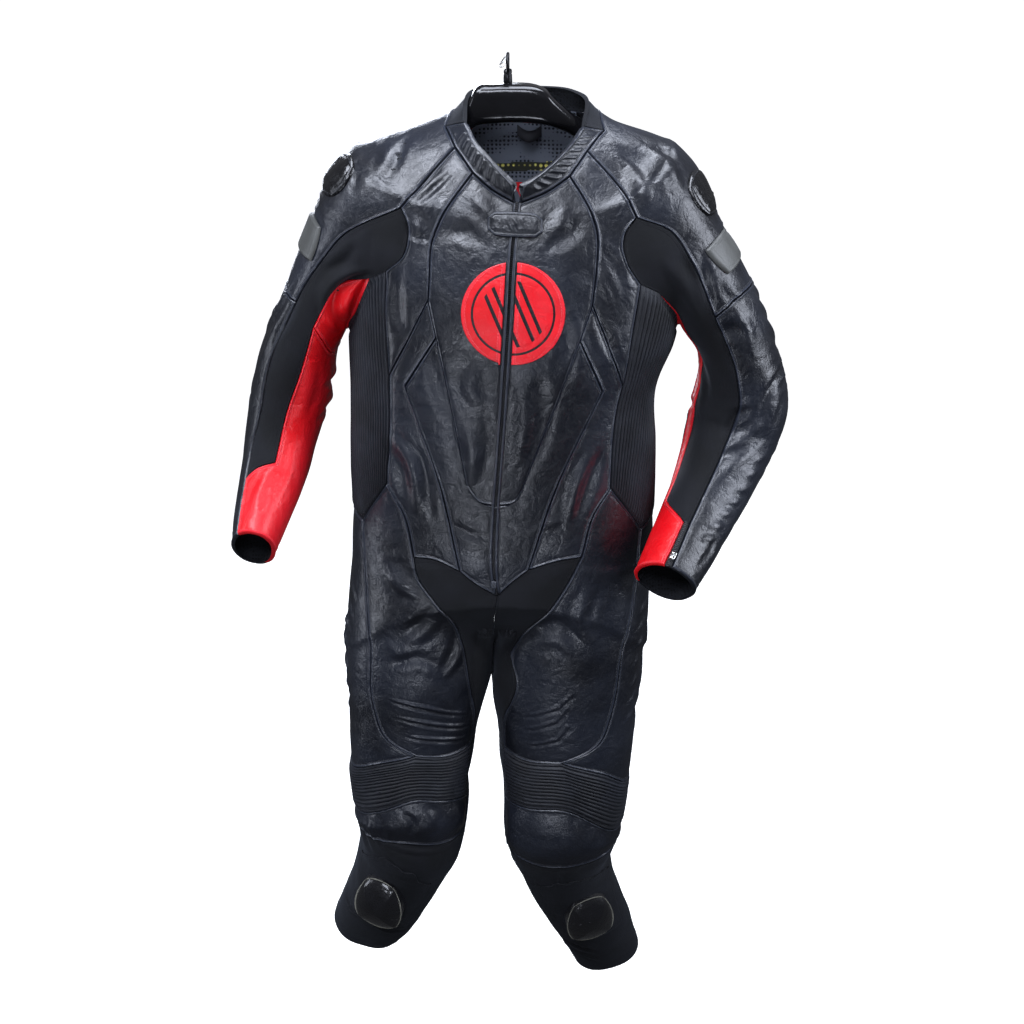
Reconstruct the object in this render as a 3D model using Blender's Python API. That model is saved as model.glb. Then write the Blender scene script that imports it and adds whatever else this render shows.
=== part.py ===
# One-piece leather motorcycle race suit, zipped shut and filled out, hanging on a plastic hanger.
# Metres, +Z up, front towards -Y. The origin is the inner crown of the hanger's hook.
# "right" and "left" are the wearer's: right is at -X.
# The suit is one smooth hollow form (trunk, sleeves and legs blended together). Seams are
# curves on that form, and each panel is a thin wall stretched between four seams.
import math

import bmesh
import bpy
import numpy as np
from mathutils import Vector
from mathutils.bvhtree import BVHTree

LEATHER = 0.0024        # wall of the leather panels
STRETCH = 0.0020        # wall of the stretch panels
LINING = 0.0012         # wall of the neck lining
GAP = 0.0003            # between two pieces at a seam
SEAT = 0.0003           # under a piece that lies on another
PAD_SEAT = 0.0007       # under a stiff pad, whose facets are longer
RIB_HEIGHT = 0.0026     # of the accordion ribs
RIBS_PER_STEP = 3       # side ribs in each step of the panel's grid
KNEE_RIBS_PER_STEP = 7
ZIP_HALF = 0.006        # half the width of the open slot that the front zip fills
LIMB_POWER = 2.2        # squareness of the limbs' ovals
PELVIS_FLOOR = -0.83    # where the trunk ends and the legs take over
CROTCH_X = -0.016       # of the seam that runs between the legs
OUT = {"right": -1, "left": 1}


def table(columns, rows):
    return {name: np.array(column, float) for name, column in zip(columns.split(), zip(*rows))}


# Level sections of the trunk: height, the two side edges, front, back and the oval's squareness.
TRUNK = table("height right left front back power", [
    (-0.040, -0.045, 0.085, 0.000, 0.075, 2.0),
    (-0.075, -0.078, 0.122, -0.022, 0.090, 2.0),
    (-0.088, -0.112, 0.142, -0.034, 0.095, 2.0),
    (-0.107, -0.170, 0.196, -0.048, 0.100, 2.0),
    (-0.127, -0.206, 0.226, -0.061, 0.104, 2.0),
    (-0.146, -0.224, 0.243, -0.072, 0.106, 2.0),
    (-0.175, -0.230, 0.250, -0.086, 0.109, 2.0),
    (-0.220, -0.225, 0.248, -0.099, 0.112, 2.1),
    (-0.270, -0.219, 0.243, -0.107, 0.114, 2.2),
    (-0.320, -0.216, 0.236, -0.111, 0.113, 2.3),
    (-0.380, -0.216, 0.225, -0.111, 0.110, 2.3),
    (-0.440, -0.217, 0.203, -0.109, 0.106, 2.3),
    (-0.520, -0.220, 0.205, -0.106, 0.101, 2.3),
    (-0.600, -0.221, 0.207, -0.105, 0.101, 2.3),
    (-0.680, -0.226, 0.208, -0.108, 0.107, 2.3),
    (-0.740, -0.230, 0.206, -0.108, 0.111, 2.2),
    (-0.800, -0.231, 0.200, -0.103, 0.109, 2.2),
    (-0.860, -0.231, 0.196, -0.096, 0.102, 2.2),
])
# Limbs: points on the centre line with the half width across and the half depth there.
LIMB_COLUMNS = "x y z across deep"
LIMBS = {
    ("sleeve", "right"): table(LIMB_COLUMNS, [
        (-0.150, 0.005, -0.165, 0.068, 0.078),
        (-0.190, 0.005, -0.215, 0.066, 0.082),
        (-0.228, 0.005, -0.275, 0.060, 0.079),
        (-0.259, 0.008, -0.325, 0.052, 0.075),
        (-0.281, 0.012, -0.370, 0.049, 0.071),
        (-0.297, 0.018, -0.420, 0.054, 0.068),
        (-0.311, 0.022, -0.475, 0.055, 0.065),
        (-0.322, 0.014, -0.520, 0.052, 0.062),
        (-0.330, -0.010, -0.560, 0.047, 0.058),
        (-0.340, -0.050, -0.600, 0.040, 0.054),
        (-0.352, -0.105, -0.648, 0.030, 0.052),
    ]),
    ("sleeve", "left"): table(LIMB_COLUMNS, [
        (0.165, 0.005, -0.170, 0.070, 0.080),
        (0.210, 0.005, -0.225, 0.068, 0.084),
        (0.252, 0.005, -0.280, 0.062, 0.080),
        (0.290, 0.008, -0.335, 0.056, 0.075),
        (0.313, 0.012, -0.380, 0.053, 0.071),
        (0.326, 0.018, -0.430, 0.060, 0.068),
        (0.327, 0.022, -0.478, 0.068, 0.066),
        (0.317, 0.014, -0.522, 0.065, 0.063),
        (0.296, -0.020, -0.568, 0.057, 0.060),
        (0.265, -0.065, -0.613, 0.049, 0.055),
        (0.214, -0.150, -0.679, 0.042, 0.048),
    ]),
    ("leg", "right"): table(LIMB_COLUMNS, [
        (-0.112, 0.003, -0.700, 0.085, 0.085),
        (-0.122, 0.003, -0.780, 0.100, 0.099),
        (-0.134, 0.003, -0.860, 0.104, 0.100),
        (-0.139, 0.002, -0.910, 0.101, 0.097),
        (-0.146, 0.000, -1.012, 0.095, 0.091),
        (-0.151, -0.002, -1.065, 0.091, 0.087),
        (-0.149, -0.002, -1.119, 0.088, 0.083),
        (-0.151, 0.004, -1.174, 0.082, 0.080),
        (-0.160, 0.022, -1.216, 0.077, 0.076),
        (-0.184, 0.060, -1.300, 0.070, 0.066),
        (-0.217, 0.115, -1.396, 0.067, 0.055),
        (-0.244, 0.165, -1.467, 0.060, 0.046),
    ]),
    ("leg", "left"): table(LIMB_COLUMNS, [
        (0.100, 0.003, -0.700, 0.085, 0.085),
        (0.094, 0.003, -0.780, 0.102, 0.099),
        (0.091, 0.003, -0.860, 0.107, 0.100),
        (0.089, 0.002, -0.910, 0.108, 0.097),
        (0.087, 0.000, -1.012, 0.103, 0.091),
        (0.088, -0.002, -1.065, 0.098, 0.087),
        (0.085, -0.002, -1.119, 0.093, 0.083),
        (0.081, 0.004, -1.174, 0.089, 0.080),
        (0.084, 0.022, -1.216, 0.078, 0.076),
        (0.102, 0.060, -1.300, 0.070, 0.066),
        (0.132, 0.115, -1.403, 0.066, 0.055),
        (0.170, 0.175, -1.530, 0.060, 0.046),
    ]),
}
# How softly the limbs run into the trunk: high above the fork, almost sharp below it.
ARMPIT = dict(top=-0.24, bottom=-0.34, high=0.045, low=0.012)
HIP_BLEND = 0.030


# ---------------------------------------------------------------- the form

def read(rows, key, name, at):
    """Value of a column where the key column is `at`, on a smooth curve through the rows."""
    keys, values = rows[key], rows[name]
    if keys[0] > keys[-1]:
        keys, values = keys[::-1], values[::-1]
    slope = np.gradient(values, keys)
    at = np.clip(at, keys[0], keys[-1])
    i = np.clip(np.searchsorted(keys, at) - 1, 0, len(keys) - 2)
    step = keys[i + 1] - keys[i]
    t = (at - keys[i]) / step
    return ((2 * t**3 - 3 * t**2 + 1) * values[i] + (t**3 - 2 * t**2 + t) * step * slope[i]
            + (3 * t**2 - 2 * t**3) * values[i + 1] + (t**3 - t**2) * step * slope[i + 1])


def unit(vectors):
    return vectors / np.linalg.norm(vectors, axis=-1, keepdims=True)


def lengths(points):
    steps = np.linalg.norm(np.diff(points, axis=0), axis=1)
    return np.concatenate(([0.0], np.cumsum(steps)))


def station_axes(rows, side, count=64):
    """Even stations along a limb, each with its centre, axes and half sizes."""
    rows = dict(rows, key=np.arange(len(rows["x"]), dtype=float))
    fine = np.linspace(0, rows["key"][-1], 400)
    path = np.stack([read(rows, "key", name, fine) for name in LIMB_COLUMNS.split()], 1)
    run = lengths(path[:, :3])
    even = np.linspace(0, run[-1], count)
    path = np.stack([np.interp(even, run, column) for column in path.T], 1)
    down = unit(np.gradient(path[:, :3], axis=0))
    forward = np.array([0.0, -1.0, 0.0])
    front = unit(forward - down * (down @ forward)[:, None])
    out = np.cross(front, down)
    out *= np.sign(out[0, 0] * OUT[side])
    return dict(centre=path[:, :3], down=down, front=front, out=out, across=path[:, 3],
                deep=path[:, 4], step=even[1], length=run[-1])


STATIONS = {key: station_axes(rows, key[1]) for key, rows in LIMBS.items()}


def at_station(values, at):
    i = np.clip(at.astype(int), 0, len(values) - 2)
    t = (at - i) if values.ndim == 1 else (at - i)[:, None]
    return values[i] * (1 - t) + values[i + 1] * t


def oval_distance(across, deep, half_across, half_deep, power):
    """Distance outside a squared oval, to first order."""
    u = np.maximum(np.abs(across) / half_across, 1e-6)
    w = np.maximum(np.abs(deep) / half_deep, 1e-6)
    radius = (u**power + w**power) ** (1 / power)
    slope = radius ** (1 - power) * np.hypot(u ** (power - 1) / half_across, w ** (power - 1) / half_deep)
    return (radius - 1) / slope


def limb_distance(limb, points):
    stations = STATIONS[limb]
    square = (points**2).sum(1)[:, None] - 2 * points @ stations["centre"].T + (stations["centre"]**2).sum(1)
    nearest = np.argmin(square, 1)
    offset = points - stations["centre"][nearest]
    along = nearest + (offset * stations["down"][nearest]).sum(1) / stations["step"]
    at = np.clip(along, 0, len(stations["centre"]) - 1)
    offset = points - at_station(stations["centre"], at)
    side = oval_distance((offset * at_station(stations["out"], at)).sum(1),
                         (offset * at_station(stations["front"], at)).sum(1),
                         at_station(stations["across"], at), at_station(stations["deep"], at), LIMB_POWER)
    return np.maximum(side, -along * stations["step"])


def trunk_distance(points):
    x, y, z = points.T
    right, left, front, back, power = (read(TRUNK, "height", name, z)
                                       for name in ("right", "left", "front", "back", "power"))
    side = oval_distance(x - (right + left) / 2, y - (front + back) / 2,
                         (left - right) / 2, (back - front) / 2, power)
    return np.maximum(side, PELVIS_FLOOR + 8 * y**2 - z)


def soft_union(a, b, reach):
    overlap = np.maximum(reach - np.abs(a - b), 0) / reach
    return np.minimum(a, b) - overlap**2 * reach / 4


def form_distance(points, sides=("right", "left")):
    """How far points are outside the filled-out suit, one half of it, the trunk or one limb."""
    if sides in LIMBS:
        return limb_distance(sides, points)
    t = np.clip((points[:, 2] - ARMPIT["bottom"]) / (ARMPIT["top"] - ARMPIT["bottom"]), 0, 1)
    armpit = ARMPIT["low"] + (ARMPIT["high"] - ARMPIT["low"]) * t * t * (3 - 2 * t)
    trunk = trunk_distance(points)
    halves = [] if sides else [trunk]
    for side in sides:
        half = soft_union(trunk, limb_distance(("leg", side), points), HIP_BLEND)
        halves.append(soft_union(half, limb_distance(("sleeve", side), points), armpit))
    return np.minimum.reduce(halves)


def form_slope(points, sides, step=0.0004):
    slope = np.empty_like(points)
    for axis in range(3):
        move = np.zeros(3)
        move[axis] = step
        slope[:, axis] = form_distance(points + move, sides) - form_distance(points - move, sides)
    return slope / (2 * step)


def settle(points, sides=("right", "left"), rounds=5, longest=0.02):
    """Move points onto the form, straight along its slope."""
    shape = points.shape
    points = points.reshape(-1, 3).copy()
    for _ in range(rounds):
        slope = form_slope(points, sides)
        move = slope * (form_distance(points, sides) / np.maximum((slope**2).sum(1), 0.05))[:, None]
        size = np.linalg.norm(move, axis=1, keepdims=True)
        points -= move * np.minimum(1, longest / np.maximum(size, 1e-9))
    return points.reshape(shape)


def first_hit(start, direction, reach, sides=("right", "left")):
    """First point of the form along a ray, found by steps and then by halving."""
    start, direction = np.array(start, float), np.array(direction, float)
    run = np.linspace(0, reach, 200)
    inside = form_distance(start + run[:, None] * direction, sides) <= 0
    far = run[np.argmax(inside)]
    near = far - run[1]
    for _ in range(18):
        middle = (near + far) / 2
        if form_distance((start + middle * direction)[None], sides)[0] <= 0:
            far = middle
        else:
            near = middle
    return start + far * direction


def front(x, z):
    return first_hit((x, -0.25, z), (0, 1, 0), 0.3)


def back(x, z):
    return first_hit((x, 0.25, z), (0, -1, 0), 0.3)


def between_legs(degrees):
    """Point of the centre seam that runs under the crotch: 0 is at the front, 90 at the bottom."""
    turn = math.radians(degrees)
    away = np.array([0, -math.cos(turn), -math.sin(turn)])
    x = CROTCH_X - 0.006 * math.sin(turn)
    return first_hit(np.array([x, 0, -0.70]) + 0.28 * away, -away, 0.28)


def signed_power(values, power):
    return np.sign(values) * np.abs(values) ** power


def on_limb(limb, along, degrees):
    """Points of a limb: distance down its centre line, and angle from its front, outwards."""
    stations = STATIONS[limb]
    at = np.clip(np.atleast_1d(along) / stations["step"], 0, len(stations["centre"]) - 1)
    turn = np.radians(np.atleast_1d(degrees))
    across = signed_power(np.sin(turn), 2 / LIMB_POWER) * at_station(stations["across"], at)
    deep = signed_power(np.cos(turn), 2 / LIMB_POWER) * at_station(stations["deep"], at)
    return (at_station(stations["centre"], at) + across[:, None] * at_station(stations["out"], at)
            + deep[:, None] * at_station(stations["front"], at))


def limb_coordinates(limb, points, middle):
    """The reverse of on_limb; angles lie within half a turn of `middle`."""
    stations = STATIONS[limb]
    square = ((points[:, None] - stations["centre"][None]) ** 2).sum(2)
    nearest = np.argmin(square, 1)
    offset = points - stations["centre"][nearest]
    at = nearest + (offset * stations["down"][nearest]).sum(1) / stations["step"]
    at = np.clip(at, 0, len(stations["centre"]) - 1)
    offset = points - at_station(stations["centre"], at)
    across = (offset * at_station(stations["out"], at)).sum(1) / at_station(stations["across"], at)
    deep = (offset * at_station(stations["front"], at)).sum(1) / at_station(stations["deep"], at)
    power = LIMB_POWER / 2
    degrees = np.degrees(np.arctan2(signed_power(across, power), signed_power(deep, power)))
    return at * stations["step"], middle + (degrees - middle + 180) % 360 - 180


# ---------------------------------------------------------------- seams

def smooth_path(points, count=60):
    """Many points on a smooth curve through a few."""
    points = np.array(points, float)
    if len(points) == 2:
        return points[0] + np.linspace(0, 1, count)[:, None] * (points[1] - points[0])
    rows = {"run": lengths(points)}
    rows.update(x=points[:, 0], y=points[:, 1], z=points[:, 2])
    fine = np.linspace(0, rows["run"][-1], count)
    return np.stack([read(rows, "run", axis, fine) for axis in "xyz"], 1)


def spaced(path, steps):
    run = lengths(path)
    even = np.linspace(0, run[-1], steps + 1)
    return np.stack([np.interp(even, run, path[:, axis]) for axis in range(3)], 1)


def seam(steps, points, sides=("right", "left")):
    """A seam's corner points, evenly spaced on the form."""
    path = settle(smooth_path(points), sides)
    path[0], path[-1] = points[0], points[-1]
    return spaced(path, steps)


def joined(*curves):
    parts = [curves[0]] + [curve[1:] for curve in curves[1:]]
    return np.concatenate(parts)


def divided(curve, parts):
    """The same polyline with each straight step cut into equal parts."""
    pieces = [a + np.arange(parts)[:, None] / parts * (b - a) for a, b in zip(curve[:-1], curve[1:])]
    return np.concatenate(pieces + [curve[-1:]])


# Seams of the front, as (x, z) seen from the front, for each side.
FRONT = {
    "right": dict(
        neck=[(0.012, -0.175), (-0.020, -0.158), (-0.045, -0.139)],
        collar=[(-0.045, -0.139), (-0.068, -0.110)],
        bust=[(-0.045, -0.139), (-0.086, -0.194), (-0.098, -0.222), (-0.102, -0.270), (-0.104, -0.298)],
        bust_low=[(-0.104, -0.298), (-0.094, -0.347)],
        belly=[(-0.094, -0.347), (-0.071, -0.470), (-0.056, -0.557)],
        belly_end=[(-0.056, -0.557), (-0.038, -0.580), (-0.017, -0.584)],
        yoke=[(-0.068, -0.110), (-0.105, -0.147), (-0.138, -0.181)],
        disc=[(-0.138, -0.181), (-0.130, -0.202), (-0.130, -0.221), (-0.136, -0.242), (-0.160, -0.264)],
        chest_hem=[(-0.104, -0.298), (-0.133, -0.355), (-0.159, -0.405)],
        chevron=[(-0.094, -0.347), (-0.137, -0.417)],
        chevron_low=[(-0.137, -0.417), (-0.098, -0.539), (-0.067, -0.682)],
        rib_edge=[(-0.160, -0.264), (-0.161, -0.354), (-0.159, -0.405)],
        rib_edge_low=[(-0.159, -0.405), (-0.163, -0.497), (-0.168, -0.562)],
        hip=[(-0.168, -0.562), (-0.144, -0.605), (-0.132, -0.667)],
        waist=[(-0.132, -0.667), (-0.102, -0.668), (-0.067, -0.682)],
        waist_end=[(-0.067, -0.682), (-0.040, -0.704), (-0.015, -0.719)],
    ),
    "left": dict(
        neck=[(0.012, -0.175), (0.052, -0.160), (0.080, -0.143)],
        collar=[(0.080, -0.143), (0.103, -0.114)],
        bust=[(0.080, -0.143), (0.105, -0.182), (0.114, -0.206), (0.115, -0.260), (0.111, -0.304)],
        bust_low=[(0.111, -0.304), (0.094, -0.350)],
        belly=[(0.094, -0.350), (0.061, -0.447), (0.020, -0.557)],
        belly_end=[(0.020, -0.557), (0.008, -0.580), (-0.017, -0.584)],
        yoke=[(0.103, -0.114), (0.147, -0.160), (0.166, -0.193)],
        disc=[(0.166, -0.193), (0.153, -0.211), (0.150, -0.228), (0.156, -0.252), (0.175, -0.282)],
        chest_hem=[(0.111, -0.304), (0.134, -0.362), (0.154, -0.420)],
        chevron=[(0.094, -0.350), (0.126, -0.424)],
        chevron_low=[(0.126, -0.424), (0.073, -0.542), (0.028, -0.680)],
        rib_edge=[(0.175, -0.282), (0.165, -0.350), (0.154, -0.420)],
        rib_edge_low=[(0.154, -0.420), (0.145, -0.470), (0.142, -0.567)],
        hip=[(0.142, -0.567), (0.119, -0.603), (0.102, -0.664)],
        waist=[(0.102, -0.664), (0.074, -0.667), (0.028, -0.680)],
        waist_end=[(0.028, -0.680), (0.006, -0.698), (-0.015, -0.719)],
    ),
}
FRONT_STEPS = dict(neck=3, collar=3, bust=8, bust_low=2, belly=4, belly_end=3, yoke=3, disc=3, chest_hem=3,
                   chevron=3, chevron_low=6, rib_edge=2, rib_edge_low=4, hip=2, waist=2, waist_end=2)


# Limb seams, as (distance down the limb, degrees outwards from its front).
SLEEVE_SEAMS = {
    "right": dict(
        outer_top=[(0.080, 14), (0.130, 24), (0.190, 31)],
        outer_mid=[(0.190, 31), (0.246, 36), (0.339, 35), (0.445, 46), (0.494, 50)],
        outer_cuff=[(0.494, 50), (0.580, 50)],
        inner_top=[(0.144, -8), (0.205, -8)],
        inner_mid=[(0.205, -8), (0.270, -13), (0.352, -4), (0.467, -2)],
        jog=[(0.494, 50), (0.480, 26), (0.467, -2)],
        rear_top=[(0.155, -150), (0.200, -142)],
        rear_mid=[(0.200, -142), (0.225, -140)],
        rear_low=[(0.225, -140), (0.467, -140)],
        rear_cuff=[(0.467, -140), (0.580, -140)],
    ),
    "left": dict(
        outer_top=[(0.061, 6), (0.109, 5), (0.190, -8)],
        outer_mid=[(0.190, -8), (0.290, -11), (0.336, -8), (0.447, -19), (0.584, -29)],
        outer_cuff=[(0.584, -29), (0.656, -24)],
        inner_top=[(0.150, -55), (0.210, -75)],
        inner_mid=[(0.210, -75), (0.336, -78), (0.447, -86), (0.542, -99)],
        jog=[(0.584, -40), (0.542, -99)],
        rear_top=[(0.155, -160), (0.200, -152)],
        rear_mid=[(0.200, -152), (0.230, -150)],
        rear_low=[(0.230, -150), (0.542, -150)],
        rear_cuff=[(0.542, -150), (0.656, -150)],
    ),
}
SLEEVE_STEPS = dict(outer_top=3, outer_mid=8, outer_cuff=2, inner_top=3, inner_mid=7, jog=3,
                    rear_top=2, rear_mid=1, rear_low=7, rear_cuff=2)
LEG_SEAMS = {
    "right": dict(
        inner=[(0.161, -46), (0.262, -66), (0.292, -68)],
        side=[(0.057, 53), (0.113, 42), (0.217, 33), (0.262, 22), (0.290, -4)],
        rear=[(0.100, 125), (0.200, 124), (0.345, 124)],
        knee_front=[(0.292, -68), (0.296, -36), (0.290, -4)],
        knee_side=[(0.290, -4), (0.318, 30), (0.345, 62), (0.345, 124)],
        knee_back=[(0.345, 124), (0.330, 180), (0.292, 240)],
        knee_inside=[(0.292, 240), (0.292, 292)],
        ribs_low=[(0.403, -80), (0.369, -6), (0.401, 49), (0.412, 124)],
        cup_low=[(0.452, -80), (0.449, -35), (0.442, 2), (0.446, 60), (0.450, 124)],
        hem=[(0.825, -80), (0.825, 0), (0.825, 70), (0.825, 124)],
        hem_back=[(0.825, 124), (0.825, 180), (0.825, 280)],
    ),
    "left": dict(
        inner=[(0.172, -46), (0.266, -64), (0.304, -66)],
        side=[(0.060, 50), (0.115, 42), (0.220, 34), (0.270, 24), (0.302, -4)],
        rear=[(0.105, 125), (0.205, 124), (0.360, 124)],
        knee_front=[(0.304, -66), (0.308, -36), (0.302, -4)],
        knee_side=[(0.302, -4), (0.331, 30), (0.360, 62), (0.360, 124)],
        knee_back=[(0.360, 124), (0.345, 180), (0.304, 240)],
        knee_inside=[(0.304, 240), (0.304, 294)],
        ribs_low=[(0.404, -80), (0.387, 2), (0.428, 52), (0.438, 124)],
        cup_low=[(0.484, -80), (0.478, -40), (0.477, -12), (0.470, 50), (0.474, 124)],
        hem=[(0.881, -80), (0.881, 0), (0.881, 70), (0.881, 124)],
        hem_back=[(0.881, 124), (0.881, 180), (0.881, 280)],
    ),
}
LEG_STEPS = dict(side=11, rear=11, knee_front=4, knee_side=5, knee_back=4, knee_inside=4,
                 ribs_low=9, cup_low=9, hem=9, hem_back=8)
# The crotch panels' front edge, as (x, z) seen from the front.
CROTCH_EDGE = {
    "right": [(-0.132, -0.667), (-0.126, -0.697), (-0.105, -0.728), (-0.077, -0.766), (-0.063, -0.815)],
    "left": [(0.102, -0.664), (0.084, -0.702), (0.054, -0.750), (0.018, -0.797), (0.004, -0.840)],
}
# Side and back corners: neck, armpit and hip, for each side.
CORNERS = {
    "right": dict(neck_side=(-0.082, -0.012, -0.085), neck_back=(-0.058, 0.072, -0.078),
                  stretch_end=(-0.182, -0.072, -0.276), armpit=(-0.217, 0.010, -0.347),
                  under=(-0.207, -0.040, -0.310), under_back=(-0.205, 0.055, -0.300),
                  hip_side=(-0.208, -0.050, -0.628), rear_arm=(-0.165, -0.262), hip_rear=(-0.165, -0.610)),
    "left": dict(neck_side=(0.127, -0.012, -0.090), neck_back=(0.100, 0.072, -0.080),
                 stretch_end=(0.200, -0.070, -0.296), armpit=(0.229, 0.010, -0.350),
                 under=(0.222, -0.040, -0.325), under_back=(0.222, 0.055, -0.305),
                 hip_side=(0.190, -0.055, -0.640), rear_arm=(0.175, -0.270), hip_rear=(0.150, -0.612)),
}
NECK_BACK = (0.021, 0.092, -0.080)
BACK_CENTRE_X = -0.010
HIP_BACK_Z = -0.680
CROTCH_LOW = 95         # degrees round the crotch, from its front, of its lowest point


# Rings and cross seams of the sleeves, in the same terms as the sleeve's long seams.
SLEEVE_RINGS = {
    "right": dict(
        cross=(6, [(0.190, 31), (0.193, 90), (0.196, 150), (0.200, 218)]),
        red_cross=(8, [(0.205, -8), (0.244, -60), (0.249, -100), (0.225, -140)]),
        ring=(8, [(0.467, -2), (0.467, -70), (0.467, -140)]),
        cuff=(6, [(0.580, 50), (0.580, 90), (0.580, 150), (0.580, 220)]),
        cuff_red=(11, [(0.580, 50), (0.580, 0), (0.580, -60), (0.580, -100), (0.580, -140)]),
    ),
    "left": dict(
        cross=(6, [(0.190, -8), (0.186, 20), (0.196, 86), (0.198, 150), (0.200, 208)]),
        red_cross=(8, [(0.210, -75), (0.243, -110), (0.230, -150)]),
        ring=(8, [(0.542, -99), (0.542, -150)]),
        cuff=(6, [(0.656, -24), (0.656, 30), (0.656, 90), (0.656, 150), (0.656, 210)]),
        cuff_red=(10, [(0.656, -38), (0.656, -90), (0.656, -150)]),
    ),
}
# The strip behind the left cuff's zip, between the leather and the red cuff.
GUSSET = dict(gusset_top=(1, [(0.584, -29), (0.584, -40)]), gusset_edge=(2, [(0.584, -40), (0.656, -38)]),
              gusset_low=(1, [(0.656, -24), (0.656, -38)]))
COLLAR_TOP = {
    "right": [(0.008, -0.097, -0.148), (-0.010, -0.087, -0.130), (-0.038, -0.070, -0.104),
              (-0.056, -0.042, -0.078)],
    "left": [(0.018, -0.097, -0.150), (0.050, -0.078, -0.130), (0.080, -0.056, -0.104),
             (0.098, -0.036, -0.084)],
}
COLLAR_TOP_BACK = {
    "right": [(-0.056, -0.042, -0.078), (-0.054, 0.015, -0.050),
              (-0.034, 0.058, -0.045), (0.021, 0.080, -0.045)],
    "left": [(0.098, -0.036, -0.084), (0.104, 0.015, -0.056),
             (0.082, 0.058, -0.048), (0.021, 0.080, -0.045)],
}
ZIP_LINE = [(0.012, -0.175), (0.006, -0.230), (0.000, -0.334), (-0.011, -0.503), (-0.017, -0.584)]
ZIP_LINE_LOW = [(-0.017, -0.584), (-0.019, -0.688), (-0.015, -0.719)]
# Shoulder caps and arm plates: distance down the sleeve, degrees from its front, turn in the plane.
ARMOUR = {
    "right": dict(cap=(0.032, 68, 0), plate=(0.112, 62, 0)),
    "left": dict(cap=(0.058, 70, 0), plate=(0.132, 50, 0)),
}
PATCH_CENTRE = (0.007, -0.3135)     # of the chest's round appliqué, x and z
PATCH_RADIUS = 0.068
PATCH = 0.0014                      # thickness of the appliqué
PATCH_OUTWARD = np.array([0.0, -1.0, 0.0])
TAB_CENTRE = (0.0095, -0.093, -0.200)
ZIP_STOP = (-0.020, -0.700)
FLAP = 0.0016                       # thickness of the hook-and-loop flaps
# Knee sliders: the flap's upper edge by angle, its lowest distance, and the puck's place and turn.
SLIDER = {
    "right": dict(edge_degrees=[-30, 0, 29, 60], edge=[0.512, 0.481, 0.467, 0.497], low=0.690,
                  puck=(0.575, 15, -14)),
    "left": dict(edge_degrees=[-30, 6, 30, 60], edge=[0.520, 0.499, 0.512, 0.543], low=0.740,
                 puck=(0.622, 12, 12)),
}
CUFF_SLIDER = (0.640, -30, 0)
# Hanger: middle, height and half depth of its body along x; the arms' tops are fitted to the shoulders.
HANGER = table("x y top high deep", [
    (-0.192, 0.022, -0.130, 0.020, 0.016),
    (-0.184, 0.021, -0.125, 0.028, 0.022),
    (-0.165, 0.018, -0.115, 0.030, 0.023),
    (-0.145, 0.016, -0.110, 0.030, 0.022),
    (-0.125, 0.014, -0.104, 0.029, 0.020),
    (-0.105, 0.013, -0.098, 0.028, 0.018),
    (-0.088, 0.014, -0.0970, 0.027, 0.016),
    (-0.080, 0.014, -0.0950, 0.027, 0.015),
    (-0.072, 0.014, -0.0900, 0.028, 0.015),
    (-0.062, 0.013, -0.0790, 0.031, 0.017),
    (-0.052, 0.012, -0.0600, 0.040, 0.020),
    (-0.040, 0.012, -0.0390, 0.050, 0.022),
    (-0.020, 0.012, -0.0365, 0.050, 0.022),
    (0.005, 0.012, -0.0360, 0.049, 0.022),
    (0.030, 0.012, -0.0370, 0.049, 0.022),
    (0.048, 0.012, -0.0430, 0.045, 0.022),
    (0.062, 0.012, -0.0560, 0.036, 0.020),
    (0.078, 0.012, -0.0690, 0.030, 0.018),
    (0.096, 0.012, -0.0820, 0.028, 0.017),
    (0.112, 0.012, -0.0930, 0.028, 0.017),
    (0.130, 0.014, -0.104, 0.028, 0.018),
    (0.150, 0.016, -0.110, 0.030, 0.020),
    (0.170, 0.018, -0.118, 0.030, 0.022),
    (0.192, 0.021, -0.128, 0.028, 0.022),
    (0.200, 0.022, -0.133, 0.020, 0.016),
])
HANGER_FREE = -0.0975   # tops below this height are fitted under the shoulders
UP = np.array([0.0, 0.0, 1.0])
REST = 0.0008           # between the hanger's arms and the cloth that rests on them
ROD = 0.0023            # radius of the hook's rod
HOOK_RADIUS = 0.0118    # of the hook's bend, to the middle of the rod
HOOK_Z = -0.0095
HOOK_FOOT = [(-0.0175, 0.0023), (-0.0185, 0.0055), (-0.0350, 0.0060), (-0.0357, 0.0055)]


def limb_path(limb, pairs):
    along, degrees = np.array(pairs, float).T
    return list(on_limb(limb, along, degrees))


def limb_seam(limb, steps, pairs):
    one = (limb[1],)
    return seam(steps, list(settle(np.array(limb_path(limb, pairs)), one)), one)


def shortened(curve, cut):
    """The same polyline with its first point moved along the first step."""
    curve = curve.copy()
    curve[0] += cut * unit(curve[1] - curve[0])
    return curve


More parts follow.
